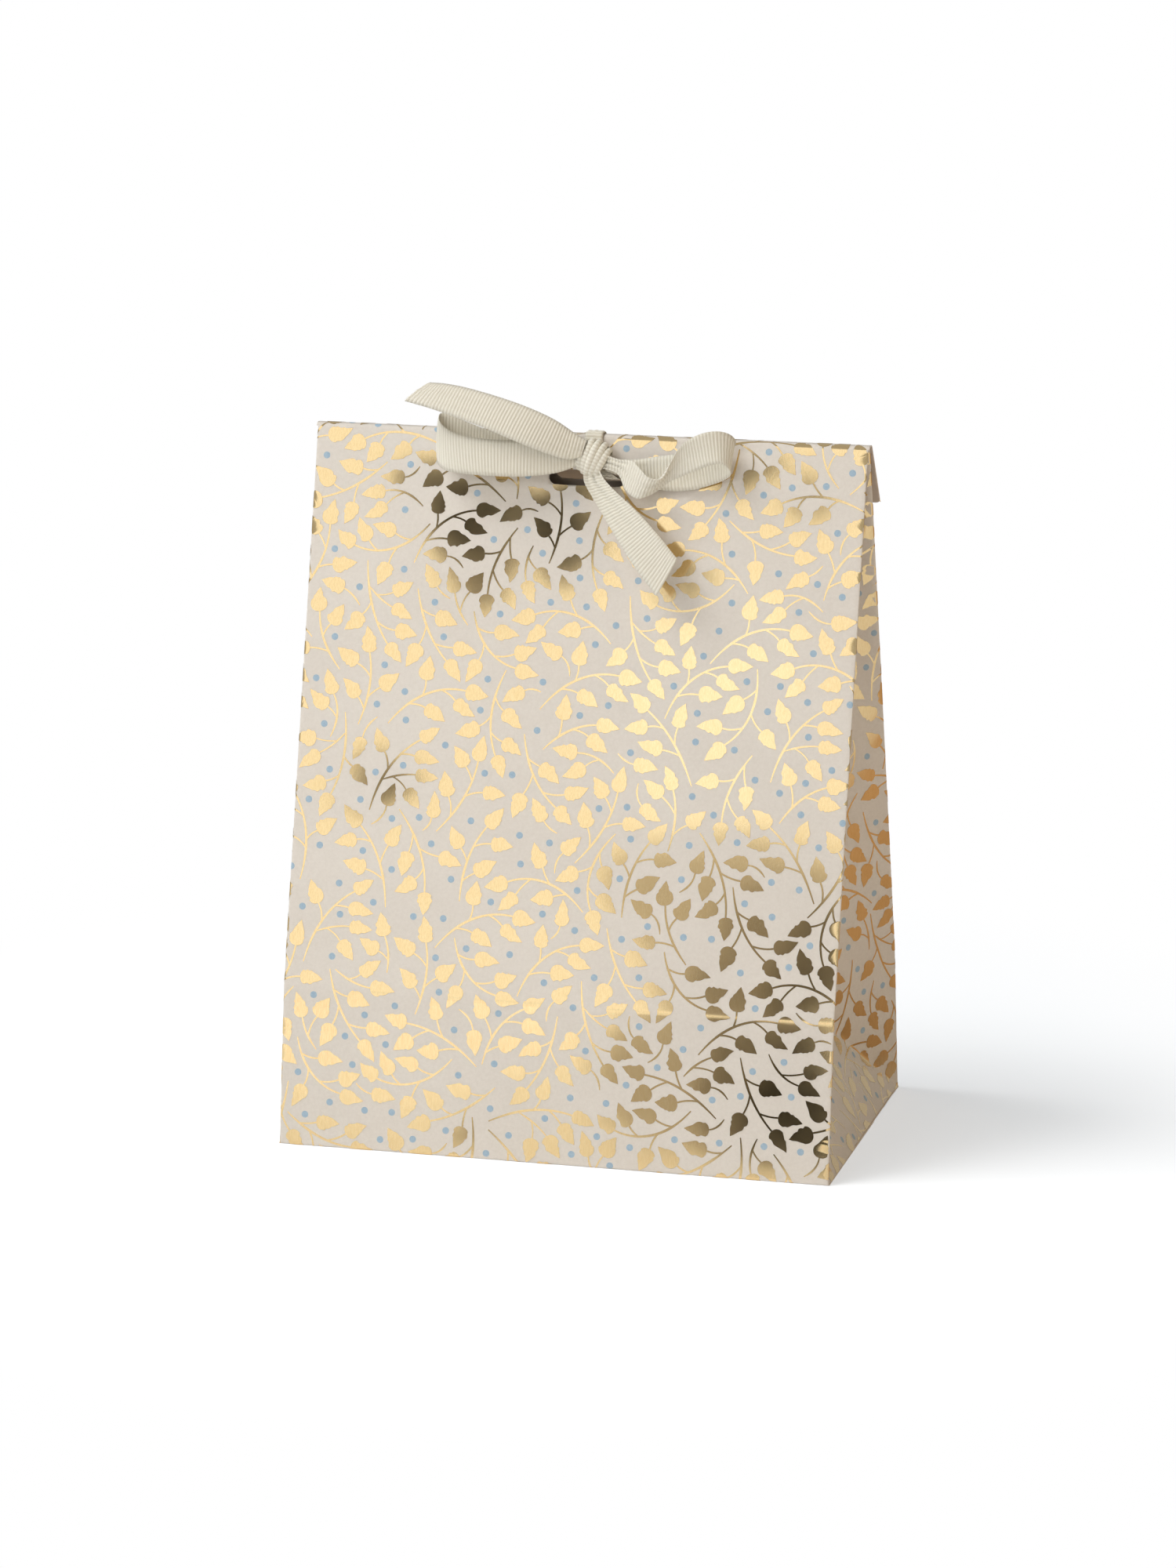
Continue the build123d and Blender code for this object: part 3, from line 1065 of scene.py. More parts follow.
def cutAlong(tris, lifts, direction, offset, where=None):
    # splits every triangle that a line crosses
    side = tris @ np.array(direction) - offset
    crossing = (side.min(1) < -0.01) & (side.max(1) > 0.01)
    if where is not None:
        crossing &= where(tris.mean(1))
    if not crossing.any():
        return tris, lifts
    t, d, h = tris[crossing], side[crossing], lifts[crossing]
    up = d > 0
    lone = np.where(up.sum(1) == 1, up.argmax(1), (~up).argmax(1))
    order = (lone[:, None] + np.arange(3)) % 3
    row = np.arange(len(t))[:, None]
    t, d = t[row, order], d[row, order]
    a, b, c = t[:, 0], t[:, 1], t[:, 2]
    ab = a + (b - a) * (d[:, 0] / (d[:, 0] - d[:, 1]))[:, None]
    ac = a + (c - a) * (d[:, 0] / (d[:, 0] - d[:, 2]))[:, None]
    parts = [np.stack([a, ab, ac], 1), np.stack([ab, b, c], 1), np.stack([ab, c, ac], 1)]
    return np.concatenate([tris[~crossing]] + parts), np.concatenate([lifts[~crossing], h, h, h])


def gussetFoot(start):
    return lambda p: (p[:, 0] > start) & (p[:, 0] < start + gussetWidth) & (p[:, 1] < halfDepth + 1)


def slotArea(middle, at):
    return lambda p: (np.abs(p[:, 0] - middle) < 16) & (np.abs(p[:, 1] - at) < 6)


def foldLines():
    # each is a direction across the line, its offset, and the area where it counts
    lines = []
    for i, edge in enumerate(cornerAt + [roundSheet]):
        lines += [((1, 0), edge + d, None) for d in nearFold]
        if i in (1, 3):
            lines += [((1, 0), edge + halfDepth + d, None) for d in nearFold]
    for edge in (0, lowLength):
        lines += [((0, 1), edge + d, None) for d in paperMesh["creaseOffsets"]]
    topRows = rows[-len(paperMesh["topRows"]) - 1 :]
    lines += [((0, 1), v, None) for v in [-baseReach, backLength, sheetTop] + topRows + foldRows]
    step = halfDepth / squares
    for start in (cornerAt[1], cornerAt[3]):
        for d in (-step, 0, step):
            lines.append(((-1, 1), d - start, gussetFoot(start)))
            lines.append(((1, 1), d + start + gussetWidth, gussetFoot(start)))
    for middle, at in slotSpots:
        near = slotArea(middle, at)
        for d in (slotHalf[1], slotHalf[1] - 0.5):
            lines += [((0, 1), at - d, near), ((0, 1), at + d, near)]
        for d in [slotHalf[0] - inner for inner in (0, 0.4, 1.2, 2.5)]:
            lines += [((1, 0), middle - d, near), ((1, 0), middle + d, near)]
    return lines


def onSheetGrid(u, s):
    # the cell of the sheet's own mesh that holds a point, and the point's place in the cell
    cols = np.array(columns + [roundSheet])
    lines = np.array(rows)
    uu = np.mod(u, roundSheet)
    c = np.clip(np.searchsorted(cols, uu, side="right") - 1, 0, len(cols) - 2)
    r = np.clip(np.searchsorted(lines, s, side="right") - 1, 0, len(lines) - 2)
    a = ((uu - cols[c]) / (cols[c + 1] - cols[c]))[:, None]
    b = ((s - lines[r]) / (lines[r + 1] - lines[r]))[:, None]
    return c, r, a, b


def sheetGrid():
    cols = np.array(columns + [roundSheet - 1e-7])
    uu, ss = np.meshgrid(cols, np.array(rows))
    place, normal = placeAll(uu.ravel(), ss.ravel())
    shape = (len(rows), len(cols), 3)
    return place.reshape(shape), normal.reshape(shape)


def facetPlace(u, s, grid, leanings):
    # reads the grid on the same flat facets as the sheet's mesh
    c, r, a, b = onSheetGrid(u, s)
    p00, p10, p11, p01 = grid[r, c], grid[r, c + 1], grid[r + 1, c + 1], grid[r + 1, c]
    flat = p00 * (1 - a) * (1 - b) + p10 * a * (1 - b) + p11 * a * b + p01 * (1 - a) * b
    up = np.where(a >= b, p00 + a * (p10 - p00) + b * (p11 - p10), p00 + b * (p01 - p00) + a * (p11 - p01))
    over = p11 + (1 - a) * (p01 - p11) + (1 - b) * (p10 - p11)
    down = np.where(a + b <= 1, p00 + a * (p10 - p00) + b * (p01 - p00), over)
    lean = leanings[r, c][:, None]
    return np.where(lean > 0, up, np.where(lean < 0, down, flat))


def insideSlot(points):
    inside = np.zeros(len(points), bool)
    for middle, at in slotSpots:
        dx = np.maximum(np.abs(points[:, 0] - middle) - slotStraight, 0)
        inside |= np.hypot(dx, points[:, 1] - at) < slotHalf[1]
    return inside


def decal(name, tris, lifts, material, forFlap):
    centre = tris.mean(1)
    u, s = np.mod(centre[:, 0], roundSheet), centre[:, 1]
    front = u < cornerAt[1]
    back = (u > cornerAt[2]) & (u < cornerAt[3])
    kept = (s > -baseReach) & (s < sheetTop - 0.15) & ~insideSlot(np.stack([u, s], 1))
    kept &= (s > 0) | front | back
    kept &= (s < backLength) | front
    kept &= (s > bodyTop) if forFlap else (s < bodyTop)
    tris, lifts = tris[kept], lifts[kept]
    ab, ac = tris[:, 1] - tris[:, 0], tris[:, 2] - tris[:, 0]
    area = ab[:, 0] * ac[:, 1] - ab[:, 1] * ac[:, 0]
    tris = np.where((area < 0)[:, None, None], tris[:, ::-1], tris)
    tris, lifts = tris[np.abs(area) > 1e-4], lifts[np.abs(area) > 1e-4]
    # corners a hair inside their triangle, so each is read on its own side of a fold
    middle = tris.mean(1, keepdims=True)
    probe = (tris + (middle - tris) * 1e-4).reshape(-1, 2)
    if forFlap:
        place, normal = sheetPlace(np.mod(probe[:, 0], roundSheet), probe[:, 1], "flap")
    else:
        place = facetPlace(probe[:, 0], probe[:, 1], gridPlace, gridLean)
        normal = unit(facetPlace(probe[:, 0], probe[:, 1], gridNormal, gridLean))
    corner = (place + normal * np.repeat(lifts, 3)[:, None]) * mm
    key = np.round(corner * pattern["weldsPerMetre"]).astype(np.int64)
    _, first, index = np.unique(key, axis=0, return_index=True, return_inverse=True)
    index = index.reshape(-1, 3)
    solid = (index[:, 0] != index[:, 1]) & (index[:, 1] != index[:, 2]) & (index[:, 0] != index[:, 2])
    mesh = meshFrom(name, corner[first], index[solid].tolist(), material)
    mesh.validate()
    piece = addObject(name, mesh)
    if forFlap:
        bendFlap(piece)
    else:
        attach(piece, "bag")
    return piece


def printPattern():
    placed, taken = placeSprigs()
    dots = placeDots(taken)
    print("sprigs", len(placed), "dots", len(dots))
    for name, material, (tris, lifts) in (
        ("Foil", goldFoil, flatFoil(placed)),
        ("Dots", blueInk, flatDots(dots)),
    ):
        centre = tris.mean(1)
        wrap = (centre[:, 0] < 0) * roundSheet - (centre[:, 0] >= roundSheet) * roundSheet
        tris = tris + np.stack([wrap, 0 * wrap], 1)[:, None, :]
        for direction, offset, where in foldLines():
            tris, lifts = cutAlong(tris, lifts, direction, offset, where)
        for forFlap in (False, True):
            piece = decal(("flap" if forFlap else "bag") + name, tris, lifts, material, forFlap)
            print(piece.name, len(piece.data.polygons))


gridPlace, gridNormal = sheetGrid()
gridLean = [[diagonalOf(left, right, low) for left, right in zip(columns, columnEnds)] + [0] for low in rows]
gridLean = np.array(gridLean)
printPattern()
print("foil and dots printed")

# Grosgrain bow. Sections are pairs of edge points on the front wall: along x, up the wall, out of it.


def smoothLine(points, at):
    # Catmull-Rom through the points, read at distances measured in sections
    points = np.array(points, float)
    padded = np.concatenate([2 * points[:1] - points[1:2], points, 2 * points[-1:] - points[-2:-1]])
    i = np.clip(at.astype(int), 0, len(points) - 2)
    t = (at - i)[:, None]
    a, b, c, d = padded[i], padded[i + 1], padded[i + 2], padded[i + 3]
    return 0.5 * (2 * b + (c - a) * t + (2 * a - 5 * b + 4 * c - d) * t**2 + (3 * b - a - 3 * c + d) * t**3)


def ribbonEdges(top, bottom):
    # the ribbon's two edges at even steps along it, with the distance of each step
    coarse = np.linspace(0, len(top) - 1, 40 * len(top))
    middle = (smoothLine(top, coarse) + smoothLine(bottom, coarse)) / 2
    run = np.concatenate([[0], np.cumsum(np.linalg.norm(np.diff(middle, axis=0), axis=1))])
    along = np.linspace(0, run[-1], round(run[-1] / ribbonSpec["step"]))
    at = np.interp(along, run, coarse)
    return along, smoothLine(top, at), smoothLine(bottom, at)


def ribbonFaces(count, n):
    # front and back faces and the rim between them
    total = count * n
    index = np.arange(total).reshape(count, n)
    a, b, c, d = index[:-1, :-1], index[:-1, 1:], index[1:, 1:], index[1:, :-1]
    front = np.stack([a, d, c, b], -1).reshape(-1, 4)
    rim = np.concatenate([index[:, 0], index[-1, 1:], index[-2::-1, -1], index[0, -2:0:-1]])
    after = np.roll(rim, -1)
    edge = np.stack([rim, rim + total, after + total, after], -1)
    return np.concatenate([front, front[:, ::-1] + total, edge])


def ribbonPiece(name, top, bottom, crown=0.0, pleats=0.0, waves=3, space=False, rib=ribbonSpec["rib"]):
    # sections are on the front wall, or in the bag's own frame where space is set
    if not space:
        top = [onWall(*p) for p in top]
        bottom = [onWall(*p) for p in bottom]
    along, upper, lower = ribbonEdges(top, bottom)
    wide = np.linalg.norm(upper - lower, axis=1)
    n = ribbonSpec["across"] + 1
    q = np.linspace(0, 1, n)[None]
    surface = upper[:, None] * q[..., None] + lower[:, None] * (1 - q[..., None])
    normal = unit(np.cross(upper - lower, np.gradient((upper + lower) / 2, axis=0)))
    gathered = np.clip(1 - wide / ribbonSpec["width"], 0, 1)[:, None]
    lift = crown * 4 * q * (1 - q) + pleats * gathered * np.cos(2 * math.pi * waves * (q - 0.5))
    surface = surface + normal[:, None] * lift[..., None]
    face = unit(np.cross(np.gradient(surface, axis=1), np.gradient(surface, axis=0)))
    thinEdge = 1 - 0.5 * np.abs(2 * q - 1) ** 8
    ribs = 0.5 + 0.5 * np.cos(2 * math.pi * along / ribbonSpec["pitch"])[:, None]
    half = (ribbonSpec["thick"] / 2 - rib + 2 * rib * ribs) * thinEdge
    sides = [(surface + sign * face * half[..., None]).reshape(-1, 3) for sign in (1, -1)]
    faces = ribbonFaces(len(along), n).tolist()
    mesh = meshFrom(name, np.concatenate(sides) * mm, faces, grosgrain)
    fromEdge = (q * wide[:, None]).ravel()
    writeUvs(mesh, "ribbonLength", np.tile(np.stack([np.repeat(along, n), fromEdge], 1), (2, 1)))
    work = bmesh.new()
    work.from_mesh(mesh)
    bmesh.ops.recalc_face_normals(work, faces=work.faces)
    work.to_mesh(mesh)
    work.free()
    piece = addObject(name, mesh)
    print(name, "length", round(float(along[-1]), 1), "faces", len(mesh.polygons))
    return piece, along[-1]


upperTail = {
    "top": [
        (0.6, -2.2, 6.2), (-3.4, 0.0, 7.4), (-9.4, 3.6, 9.0), (-17.6, 6.9, 10.4), (-27.0, 9.7, 11.0),
        (-37.6, 12.2, 11.0), (-45.0, 13.3, 10.8), (-50.2, 13.5, 10.6),
    ],
    "bottom": [
        (-0.6, -7.6, 6.8), (-5.2, -8.6, 8.6), (-13.0, -6.6, 12.0), (-21.4, -3.7, 14.2), (-30.4, -0.4, 15.0),
        (-40.4, 2.7, 15.0), (-49.0, 5.2, 14.6), (-57.3, 7.1, 14.0),
    ],
    "bend": [(-1.5, -5.0, 6.5), (-15.0, 0.5, 11.0)],
}
lowerTail = {
    "top": [
        (4.6, -10.0, 5.4), (7.2, -14.2, 6.2), (11.4, -18.0, 7.2), (16.6, -22.1, 8.2), (22.0, -26.8, 9.0),
        (27.6, -32.3, 9.8), (33.1, -38.2, 10.2),
    ],
    "bottom": [
        (0.2, -12.0, 5.0), (1.0, -15.8, 5.6), (4.4, -20.8, 6.2), (8.6, -26.8, 7.2), (13.6, -33.8, 8.2),
        (19.4, -41.6, 9.0), (27.0, -50.0, 9.6),
    ],
    "bend": [(2.8, -11.5, 5.2), (10.5, -24.5, 7.6)],
}
leftLoop = {
    "top": [
        (1.0, -4.0, 5.0), (-3.5, -3.8, 6.0), (-10.0, -3.2, 7.5), (-19.0, -3.3, 9.2), (-29.2, -3.6, 9.8),
        (-40.1, -2.4, 9.0), (-46.0, 0.2, 7.4), (-48.3, 3.2, 5.0), (-47.1, 4.6, 2.6), (-40.0, 2.2, 1.3),
        (-28.0, -1.4, 1.2), (-14.0, -3.0, 1.4), (-2.0, -4.4, 2.6),
    ],
    "bottom": [
        (0.0, -9.0, 5.0), (-3.5, -11.0, 5.6), (-9.4, -13.2, 7.0), (-18.8, -14.7, 8.5), (-28.5, -15.0, 9.2),
        (-38.3, -14.7, 9.0), (-44.8, -13.6, 7.6), (-47.8, -10.8, 5.2), (-46.5, -8.0, 2.8), (-40.0, -9.6, 1.3),
        (-28.0, -12.4, 1.2), (-14.0, -11.6, 1.4), (-2.0, -9.6, 2.6),
    ],
}
rightLoop = {
    "top": [
        (4.0, -5.8, 5.2), (11.5, -7.8, 6.0), (16.2, -8.2, 7.5), (19.2, -10.6, 8.8), (22.0, -13.0, 9.4),
        (24.8, -13.6, 9.4), (26.8, -12.4, 9.4), (29.0, -8.2, 9.8), (31.9, -3.3, 10.4), (35.4, -0.5, 10.8),
        (39.5, 1.4, 10.7), (43.8, 2.1, 9.6), (47.1, 1.3, 7.4), (48.2, -0.7, 5.0), (46.1, -2.9, 3.0),
        (40.0, -3.9, 1.8), (32.0, -4.6, 1.4), (24.0, -5.8, 1.4), (15.0, -7.4, 1.8), (6.0, -7.6, 2.8),
    ],
    "bottom": [
        (3.4, -10.2, 5.2), (11.2, -12.2, 5.8), (14.0, -16.8, 6.6), (16.4, -19.0, 7.4), (19.2, -19.8, 7.8),
        (22.6, -18.2, 7.0), (25.4, -16.0, 6.4), (28.4, -13.8, 6.6), (32.0, -12.4, 7.4), (37.4, -10.1, 8.6),
        (41.4, -8.6, 9.4), (44.9, -7.9, 9.3), (46.9, -9.0, 7.8), (47.3, -10.6, 5.6), (46.0, -12.0, 3.6),
        (41.6, -13.9, 2.1), (34.2, -16.1, 1.5), (25.0, -16.6, 1.4), (16.6, -14.2, 1.8), (6.6, -11.4, 2.8),
    ],
}


def makeBow():
    for name, spec, body, node, crown, pleats in (
        ("ribbonUpperTail", upperTail, "left_tail", "tail_left", 0.7, 0.8),
        ("ribbonLowerTail", lowerTail, "right_tail", "tail_right", 0.5, 1.3),
        ("ribbonLeftLoop", leftLoop, "bow", "loop_left", 0.3, 1.0),
        ("ribbonRightLoop", rightLoop, "bow", "loop_right", 0.3, 0.7),
    ):
        piece, length = ribbonPiece(name, spec["top"], spec["bottom"], crown, pleats)
        if body == "bow":
            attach(piece, body)
        else:
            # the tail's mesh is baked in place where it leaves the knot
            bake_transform(piece)
        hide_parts(node)


makeBow()

# wraps: place across the knot, half width, depth, lean, reach up and down
knotSpec = {
    "middle": (2.4, -7.4, 3.7),
    "core": (4.4, 4.4, 2.1),
    "pinch": 0.25,
    "crown": -0.75,
    "rib": 0.04,
    "wraps": [
        (-3.4, 1.3, 2.2, 0.18, 4.1),
        (3.6, 1.3, 2.3, 0.46, 4.5),
        (-1.5, 1.35, 2.8, 0.26, 5.1),
        (1.9, 1.35, 2.7, 0.42, 5.3),
        (0.2, 1.25, 3.1, 0.34, 5.5),
    ],
}


def knotBand(name, shift, half, deep, lean, reach):
    down = np.array([-math.sin(lean), -math.cos(lean)])
    side = np.array([math.cos(lean), -math.sin(lean)])
    top, bottom = [], []
    for angle in np.radians(np.linspace(-135, 135, 13)):
        pinch = 1 - knotSpec["pinch"] * math.sin(angle) ** 2
        rise = reach * math.sin(angle)
        out = knotSpec["middle"][2] + deep * math.cos(angle)
        middle = np.array(knotSpec["middle"][:2]) + down * rise + side * shift
        top.append((*(middle + side * half * pinch), out))
        bottom.append((*(middle - side * half * pinch), out))
    piece, _ = ribbonPiece(name, top, bottom, crown=knotSpec["crown"], rib=knotSpec["rib"])
    return piece


def makeKnot():
    for i, wrap in enumerate(knotSpec["wraps"]):
        piece = knotBand(f"ribbonKnotWrap{i + 1}", *wrap)
        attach(piece, "bow")
        if i == 0:
            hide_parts("knot_wrap")
    mesh = bpy.data.meshes.new("ribbonKnotCore")
    work = bmesh.new()
    bmesh.ops.create_uvsphere(work, u_segments=40, v_segments=24, radius=1)
    for v in work.verts:
        spot = np.array(knotSpec["middle"]) + np.array(v.co) * knotSpec["core"]
        v.co = Vector(onWall(*spot) * mm)
    bmesh.ops.recalc_face_normals(work, faces=work.faces)
    work.to_mesh(mesh)
    work.free()
    mesh.materials.append(grosgrain)
    core = addObject("ribbonKnotCore", mesh)
    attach(core, "bow")
    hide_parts("knot_core")


makeKnot()


def alongPath(points, left, right):
    return [(left, *p) for p in points], [(right, *p) for p in points]


strapSpec = {"left": -1.4, "right": 4.4, "out": 0.45, "overFold": 0.32, "flapGap": 0.15}


def makeStraps():
    out = strapSpec["out"]
    over = foldZ + paperThick + strapSpec["overFold"]
    left, right = strapSpec["left"], strapSpec["right"]
    behind = out + strapSpec["flapGap"]

    def wall(up, lift):
        return tuple(onWall(0, up, lift)[1:])

    def flapSpot(down, lift):
        y = hinge[1] + math.sin(flapSpring) * down + math.cos(flapSpring) * lift
        z = hinge[2] - math.cos(flapSpring) * down + math.sin(flapSpring) * lift
        return (y, z)

    path = [wall(-6.5, out + 0.3), wall(-3, out), wall(-0.6, out)]
    path += [(-1.0, over - 0.1), (0.2, over), (1.2, over)]
    top, bottom = alongPath(path, right, left)
    piece, _ = ribbonPiece("ribbonOverFold", top, bottom, crown=0.15, pleats=0.25, space=True)
    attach(piece, "bag")
    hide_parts("strap_top")
    slotY, slotZ = wall(-slotDrop, 0)
    path = [wall(-10.4, 1.2), wall(-12.4, 1.0), wall(-13.6, 0.3)]
    path += [(slotY + 1.2, slotZ), (0, slotZ), (-slotY + 0.5, slotZ)]
    top = [(x, *p) for x, p in zip((5.4, 8.6, 10.6, 10.9, 8.5, right), path)]
    bottom = [(x, *p) for x, p in zip((0.2, 3.4, 6.4, 6.0, 2.0, left), path)]
    piece, _ = ribbonPiece("ribbonThroughSlots", top, bottom, crown=0.1, pleats=0.3, space=True)
    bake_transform(piece)
    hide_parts("strap_through")
    path = [(1.1, over), (1.9, over - 0.12), flapSpot(0.8, behind), flapSpot(4, behind), flapSpot(9, behind)]
    path += [flapSpot(slotDrop - 2, out), flapSpot(slotDrop - 0.4, 0.2), flapSpot(slotDrop, -1)]
    path += [(-slotY + 2.2, slotZ), (-slotY + 0.4, slotZ)]
    top, bottom = alongPath(path, right, left)
    piece, _ = ribbonPiece("ribbonBehindFlap", top, bottom, crown=0.15, pleats=0.25, space=True)
    bendFlap(piece)
    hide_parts("strap_back")


makeStraps()
print("bow tied")

# Camera. The focal length is in image units, for a frame that is 2000 of them tall.
view = {
    "yaw": 14.78,
    "pitch": 14.2,
    "roll": -0.24,
    "distance": 1785.0,
    "focal": 7112.0,
    "frameTall": 2000,
    "sensor": 36.0,
    "aim": (-1.4, 0, 110.7),
}


def makeCamera():
    yaw, pitch, roll = (math.radians(view[k]) for k in ("yaw", "pitch", "roll"))
    back = Vector((math.sin(yaw) * math.cos(pitch), -math.cos(yaw) * math.cos(pitch), math.sin(pitch)))
    data = bpy.data.cameras.new("photoCamera")
    camera = addObject("photoCamera", data)
    camera.location = (Vector(view["aim"]) + back * view["distance"]) * mm
    camera.rotation_mode = "QUATERNION"
    turn = (-back).to_track_quat("-Z", "Y").to_matrix().to_4x4()
    camera.rotation_quaternion = (turn @ Matrix.Rotation(roll, 4, "Z")).to_quaternion()
    data.sensor_fit = "AUTO"
    data.sensor_width = view["sensor"]
    data.lens = view["focal"] * view["sensor"] / view["frameTall"]
    data.clip_start, data.clip_end = 0.05, 50
    bpy.context.scene.camera = camera


makeCamera()

# Studio. Places and sizes are in metres.
studio = {
    "key": {"at": (-0.98, -0.46, 1.62), "size": 1.0, "power": 22.5, "colour": (1.0, 1.0, 1.0)},
    "fill": {"at": (-0.75, -1.6, 1.0), "size": 1.0, "power": 5.0, "colour": (1.0, 1.0, 1.0)},
    "side": {"at": (1.5, -0.5, 0.6), "size": 1.0, "power": 5.2, "colour": (1.0, 0.72, 0.42)},
    "card": {"at": (-0.27, -1.03, 0.46), "size": (0.66, 0.62), "glow": 0.67},
    "lowCard": {"at": (-0.27, -1.06, 0.04), "size": (0.66, 0.22), "glow": 0.67},
    "aim": (0, 0, 0.12),
    "air": (1, 0.985, 0.96, 1),
    "world": 0.18,
    "mirrored": 0.42,
    "white": 1.0,
    "boardAway": 0.13,
    "boardStep": 0.12,
}
floorSpec = {
    "half": 6.0,
    "plain": (0.95, 0.95, 0.95, 1),
    # painted reflection: brown shade that only glossy rays see on the floor right of the bag
    "mirroredShade": (0.66, 0.45, 0.29, 1),
    "beside": (0.08, 0.12),
    "behind": (-0.08, -0.04),
    "glow": 0.44,
    "glowColour": (0.84, 0.92, 1.0, 1),
    "near": 0.14,
    "far": 0.3,
}
# boards that only the foil mirrors, the first one bright and the rest dark:
# x and height up the wall of the spot they show in, half width, half height, turn, brightness
foilBoards = [
    (47, 150, 30, 46, -0.25, 1.25),
    (-40, 206, 23, 15, 0.3, 0.015),
    (-6, 202, 13, 18, 0.1, 0.015),
    (-33, 186, 13, 12, 0.9, 0.16),
    (50, 222, 13, 7, -0.5, 0.03),
    (72, 214, 8, 7, 0.3, 0.1),
    (34, 186, 8, 9, 0.0, 0.2),
    (-61, 118, 10, 11, 0.6, 0.12),
    (-25, 6, 9, 10, 0.2, 0.2),
    (80, 20, 18, 28, -0.1, 0.015),
    (69, 24, 24, 38, -0.2, 0.14),
    (84, 66, 14, 22, 0.2, 0.08),
    (71, 68, 25, 28, 0.5, 0.25),
    (54, 26, 40, 44, -0.2, 0.42),
    (58, 76, 42, 36, 0.5, 0.5),
]


def addLight(name, at, wide, tall, power):
    data = bpy.data.lights.new(name, "AREA")
    data.shape = "RECTANGLE"
    data.size = wide
    data.size_y = tall
    data.energy = power
    light = addObject(name, data)
    light.location = at
    light.rotation_mode = "QUATERNION"
    light.rotation_quaternion = (Vector(studio["aim"]) - Vector(at)).to_track_quat("-Z", "Y")
    return light


def foilBoardMaterial(name, glow):
    material, nodes, links, shader = newMaterial(name)
    tint = (1.0, 0.9 + 0.1 * glow, 0.8 + 0.2 * glow, 1)
    setInputs(shader, {"Base Color": (0, 0, 0, 1), "Specular IOR Level": 0.0})
    setInputs(shader, {"Emission Color": tint, "Emission Strength": glow})
    return material


def addBoards():
    # each board stands just off the wall, where the camera sees it mirrored
    camera = np.array(bpy.context.scene.camera.location) / mm
    for i, (x, s, wide, tall, turn, glow) in enumerate(foilBoards):
        place, normal = sheetPlace(np.array([x + halfWidth]), np.array([float(s)]))
        place, normal = place[0], normal[0]
        sight = unit(place - camera)
        mirrored = Vector(sight - 2 * sight.dot(normal) * normal)
        ring = np.linspace(0, 2 * math.pi, 25)[:-1]
        ragged = 1 + 0.16 * np.sin(3 * ring + i) + 0.08 * np.sin(5 * ring + 2 * i)
        flat = turned(np.stack([wide * ragged * np.cos(ring), tall * ragged * np.sin(ring)], 1), turn)
        corners = np.pad(flat * mm, ((0, 0), (0, 1)))
        material = foilBoardMaterial(f"flagBoard{i + 1}", glow)
        mesh = meshFrom(f"flag{i + 1}", corners, [tuple(range(len(flat)))], material)
        board = addObject(f"flag{i + 1}", mesh)
        board.location = Vector(place * mm) + mirrored * (studio["boardAway"] + studio["boardStep"] * glow)
        board.rotation_mode = "QUATERNION"
        board.rotation_quaternion = (-mirrored).to_track_quat("Z", "Y")
        for kind in ("camera", "diffuse", "shadow", "transmission", "volume_scatter"):
            setattr(board, "visible_" + kind, False)


def addRoom():
    # white behind the bag, softer for its light and for what it mirrors
    world = bpy.data.worlds.new("studioWorld")
    bpy.context.scene.world = world
    world.use_nodes = True
    nodes = world.node_tree.nodes
    room = setInputs(nodes["Background"], {"Color": studio["air"]})
    levels = {"To Min": studio["world"], "To Max": studio["mirrored"]}
    bright = addNode(nodes, "ShaderNodeMapRange", levels)
    white = addNode(nodes, "ShaderNodeBackground", {"Strength": studio["white"]})
    path = nodes.new("ShaderNodeLightPath")
    mix = nodes.new("ShaderNodeMixShader")
    wire(
        world.node_tree.links,
        (path, "Is Glossy Ray", bright, "Value"),
        (bright, "Result", room, "Strength"),
        (path, "Is Camera Ray", mix, "Fac"),
        (room, "Background", mix, 1),
        (white, "Background", mix, 2),
        (mix, "Shader", nodes["World Output"], "Surface"),
    )


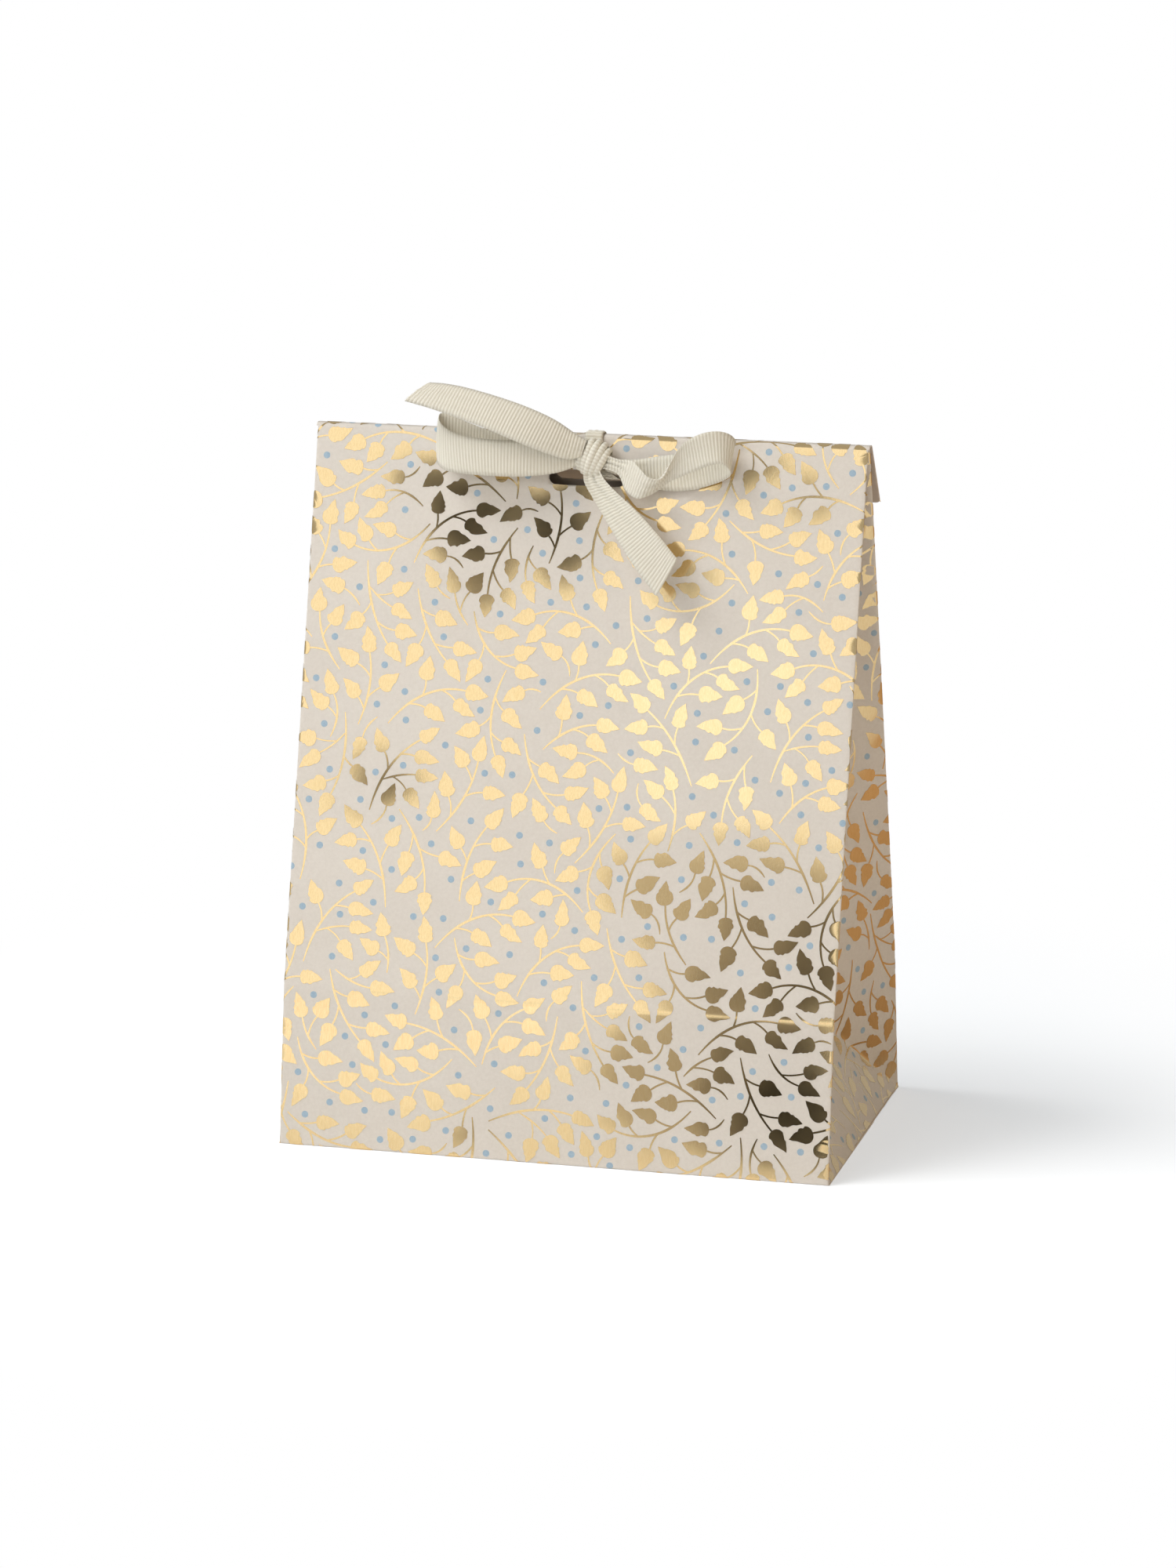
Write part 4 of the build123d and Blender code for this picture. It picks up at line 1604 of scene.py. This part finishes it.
def floorMaterial():
    # pale, fading to plain white away from the bag; only glossy rays see a brown corner right of the bag, a
    # painted reflection of shade in the foil
    material, nodes, links, shader = newMaterial("paleFloor")
    setInputs(shader, {"Roughness": 0.8, "Emission Color": floorSpec["glowColour"]})
    path = nodes.new("ShaderNodeLightPath")
    place = nodes.new("ShaderNodeTexCoord")
    split = nodes.new("ShaderNodeSeparateXYZ")
    tint = ramp(nodes, [(0.0, floorSpec["plain"]), (1.0, floorSpec["mirroredShade"])])

    def rise(low, high, **settings):
        return addNode(nodes, "ShaderNodeMapRange", {"From Min": low, "From Max": high}, **settings)

    def times(inputs=None):
        return addNode(nodes, "ShaderNodeMath", inputs, operation="MULTIPLY")

    beside = rise(*floorSpec["beside"])
    behind = rise(*floorSpec["behind"])
    # the corner mask times Is Glossy Ray places the painted reflection
    corner, mirroredShade, seen = times(), times(), times()
    glowing = times({1: floorSpec["glow"]})
    reach = addNode(nodes, "ShaderNodeVectorMath", operation="LENGTH")
    fade = rise(floorSpec["near"], floorSpec["far"], interpolation_type="SMOOTHSTEP")
    plain = nodes.new("ShaderNodeEmission")
    mix = nodes.new("ShaderNodeMixShader")
    wire(
        links,
        (place, "Object", split, "Vector"),
        (split, "X", beside, "Value"),
        (split, "Y", behind, "Value"),
        (beside, "Result", corner, 0),
        (behind, "Result", corner, 1),
        (corner, 0, mirroredShade, 0),
        (path, "Is Glossy Ray", mirroredShade, 1),
        (mirroredShade, 0, tint, "Fac"),
        (tint, "Color", shader, "Base Color"),
        (path, "Is Camera Ray", glowing, 0),
        (glowing, 0, shader, "Emission Strength"),
        (place, "Object", reach, 0),
        (reach, "Value", fade, "Value"),
        (path, "Is Camera Ray", seen, 0),
        (fade, "Result", seen, 1),
        (seen, 0, mix, "Fac"),
        (shader, "BSDF", mix, 1),
        (plain, "Emission", mix, 2),
        (mix, "Shader", nodes["Material Output"], "Surface"),
    )
    return material


def makeStudio():
    bpy.context.scene.view_settings.view_transform = "Standard"
    for name in ("key", "fill", "side"):
        spec = studio[name]
        light = addLight(name + "Light", spec["at"], spec["size"], spec["size"], spec["power"])
        light.visible_glossy = False
        light.data.color = spec["colour"]
    for name in ("card", "lowCard"):
        spec = studio[name]
        wide, tall = spec["size"]
        addLight(name + "Light", spec["at"], wide, tall, spec["glow"] * math.pi * wide * tall)
    addBoards()
    addRoom()
    half = floorSpec["half"]
    corners = np.array([(-half, -half, 0), (half, -half, 0), (half, half, 0), (-half, half, 0)])
    floor = addObject("floor", meshFrom("floor", corners, [(0, 1, 2, 3)], floorMaterial()))


makeStudio()
print("studio lit")

for node, material in (
    ("base_tuck_left", barePaper),
    ("base_tuck_right", barePaper),
    ("base_board", boardMaterial),
):
    slots = frame["nodes"][node].data.materials
    slots.clear()
    slots.append(material)
